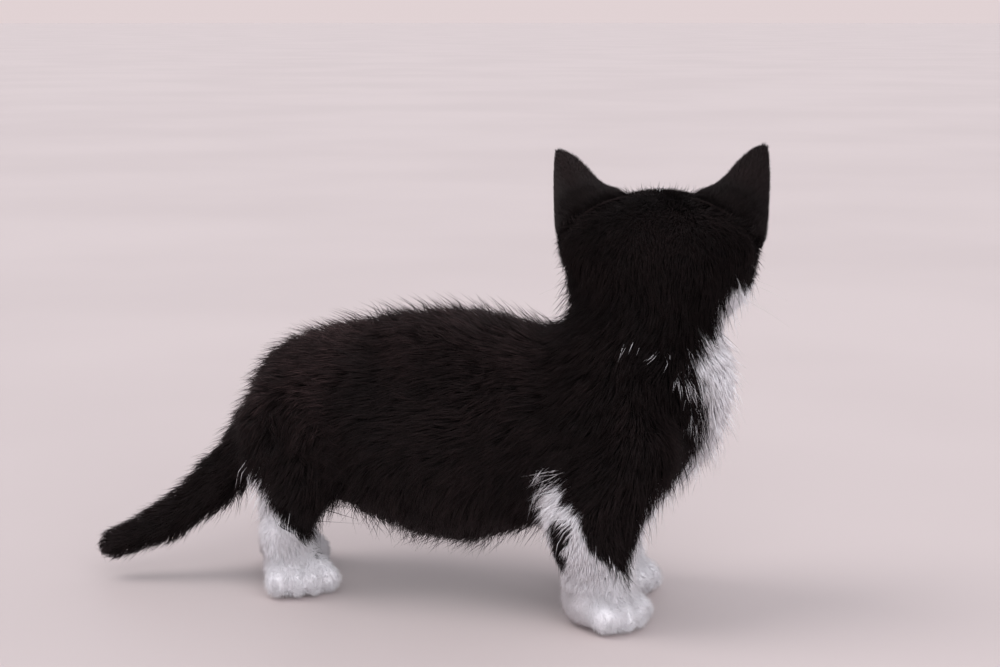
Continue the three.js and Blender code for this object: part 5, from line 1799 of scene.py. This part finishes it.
def rim_share(h):
    """The dark bare edges of the lids and lips."""
    share = np.zeros(len(h))
    for _, side in SIDES:
        q = in_eye(h, side)
        near = ramp(-np.abs(size_of(q) - EYE["radius"] - 0.4), -1.3, -0.7)
        share = np.maximum(share, near * ramp(-np.abs(opening(q)), -0.9, -0.45))
    for away in from_lips(h):
        share = np.maximum(share, 0.9 * ramp(-away, -0.75, -0.4))
    return share


def make_coat(points, quads, material):
    rng = np.random.default_rng(7)
    grow_coat(points, quads, rng)
    for name, side in SIDES:
        grow_ear(name, side, rng)
    for name in sorted(PIECES):
        parts = PIECES[name]
        starts = np.cumsum([0] + [len(part["points"]) for part in parts])
        faces = np.concatenate([part["faces"] + start for part, start in zip(parts, starts)])
        held = {key: np.concatenate([part[key] for part in parts]) for key in parts[0] if key != "faces"}
        mostly = "fur_white" if held["white"].mean() > 0.5 else "fur_black"
        new_piece(
            name, faces=faces, material=material, slot="ear_fur" if name == "coat_ears" else mostly, **held,
        )


def make_eyes():
    iris, clear = iris_finish(), cornea_finish()
    for name, side in SIDES:
        for label, (local, faces), material in (("eyeball", eyeball(), iris), ("cornea", cornea(), clear)):
            points = from_head(from_eye(local, side))
            faces = faces if side > 0 else faces[:, ::-1]
            piece = new_piece(label + "_" + name, points, faces, material, "eye", place=local)
            if label == "eyeball":
                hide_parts("eye_" + name)


def make_nose():
    points, quads = nose_net()
    h = in_head(points)
    # How much painted shade each point of the nostril openings takes
    hollow = np.zeros(len(h))
    for side in (1, -1):
        near = along_line(h * (1, side, 1), NOSTRIL)
        hollow = np.maximum(hollow, ramp(-near, -1.05, -0.5) * ramp(-nose_hull(h), 0.1, 0.7))
    piece = new_piece("nose_leather", points, quads, nose_finish(), "nose_leather", hollow=hollow)
    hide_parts(*[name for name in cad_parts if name.startswith("nose")])


# Camera, floor and light

CAMERA_AT = (-663.0, -227.0, 199.0)
VIEW_TURN, VIEW_DOWN = math.radians(18), math.radians(8.76)
LENS, SENSOR, CLIP_END = 74.99, 36, 100
FLOOR_WIDE, FLOOR_SIDES = 40, 96
ROOM_LIGHT = 0.95
# Directions, widths in degrees, strengths and colours
SOFT_LIGHTS = {
    "soft key": ((-0.5, 1.3, 1.9), 38, 1.1, (1.0, 0.97, 0.97)),
    "front fill": ((-1.7, -1.1, 1.0), 60, 1.5, (0.97, 0.98, 1.0)),
}


def make_camera():
    level = math.cos(VIEW_DOWN)
    ahead = np.array((math.cos(VIEW_TURN) * level, math.sin(VIEW_TURN) * level, -math.sin(VIEW_DOWN)))
    right = unit(np.cross(ahead, (0, 0, 1.0)))
    up = np.cross(right, ahead)
    camera = bpy.data.objects.new("camera", bpy.data.cameras.new("camera"))
    camera.data.lens = LENS
    camera.data.sensor_width = SENSOR
    camera.data.clip_end = CLIP_END
    turn = Matrix(np.stack((right, up, -ahead), -1).tolist()).to_4x4()
    camera.matrix_world = Matrix.Translation(((np.array(CAMERA_AT) + SHIFT) / 1000).tolist()) @ turn
    bpy.context.scene.collection.objects.link(camera)
    bpy.context.scene.camera = camera


def soft_light(name, at, width, strength, tint):
    """An even light from far off, as wide as a large lamp's hood."""
    data = bpy.data.lights.new(name, "SUN")
    data.angle, data.energy, data.color = math.radians(width), strength, tint
    light = bpy.data.objects.new(name, data)
    light.location = at
    light.rotation_euler = (-Vector(at)).to_track_quat("-Z", "Y").to_euler()
    bpy.context.scene.collection.objects.link(light)


def make_studio():
    angle = np.linspace(0, 2 * math.pi, FLOOR_SIDES, endpoint=False)
    floor_mesh = bpy.data.meshes.new("floor")
    ring = [(FLOOR_WIDE * math.cos(t), FLOOR_WIDE * math.sin(t), 0) for t in angle]
    floor_mesh.from_pydata(ring, [], [list(range(FLOOR_SIDES))])
    floor_mesh.materials.append(floor_finish())
    floor = bpy.data.objects.new("floor", floor_mesh)
    bpy.context.scene.collection.objects.link(floor)
    world = bpy.data.worlds.new("soft room")
    world.use_nodes = True
    w = Wiring(world.node_tree)
    sky = w.tree.nodes["Background"]
    apart = w.node("ShaderNodeSeparateXYZ")
    w.join(w.node("ShaderNodeTexCoord").outputs["Generated"], apart.inputs[0])
    height = w.between(apart.outputs[2], 0.0, 0.3)
    w.join(w.blend(height, TINT["room_low"], TINT["room_high"]), sky.inputs["Color"])
    sky.inputs["Strength"].default_value = ROOM_LIGHT
    bpy.context.scene.world = world
    for name, settings in SOFT_LIGHTS.items():
        soft_light(name, *settings)
    bpy.context.scene.view_settings.view_transform = "Standard"


make_camera()
make_studio()
skin_points, skin_quads = net(skin, SKIN_LINES, from_head)
make_skin(skin_points, skin_quads, skin_finish())
make_coat(skin_points, skin_quads, coat_finish())
make_eyes()
make_nose()
whisker_points, whisker_faces = whiskers(np.random.default_rng(3))
new_piece("whiskers", whisker_points, whisker_faces, whisker_finish(), "fur_white")
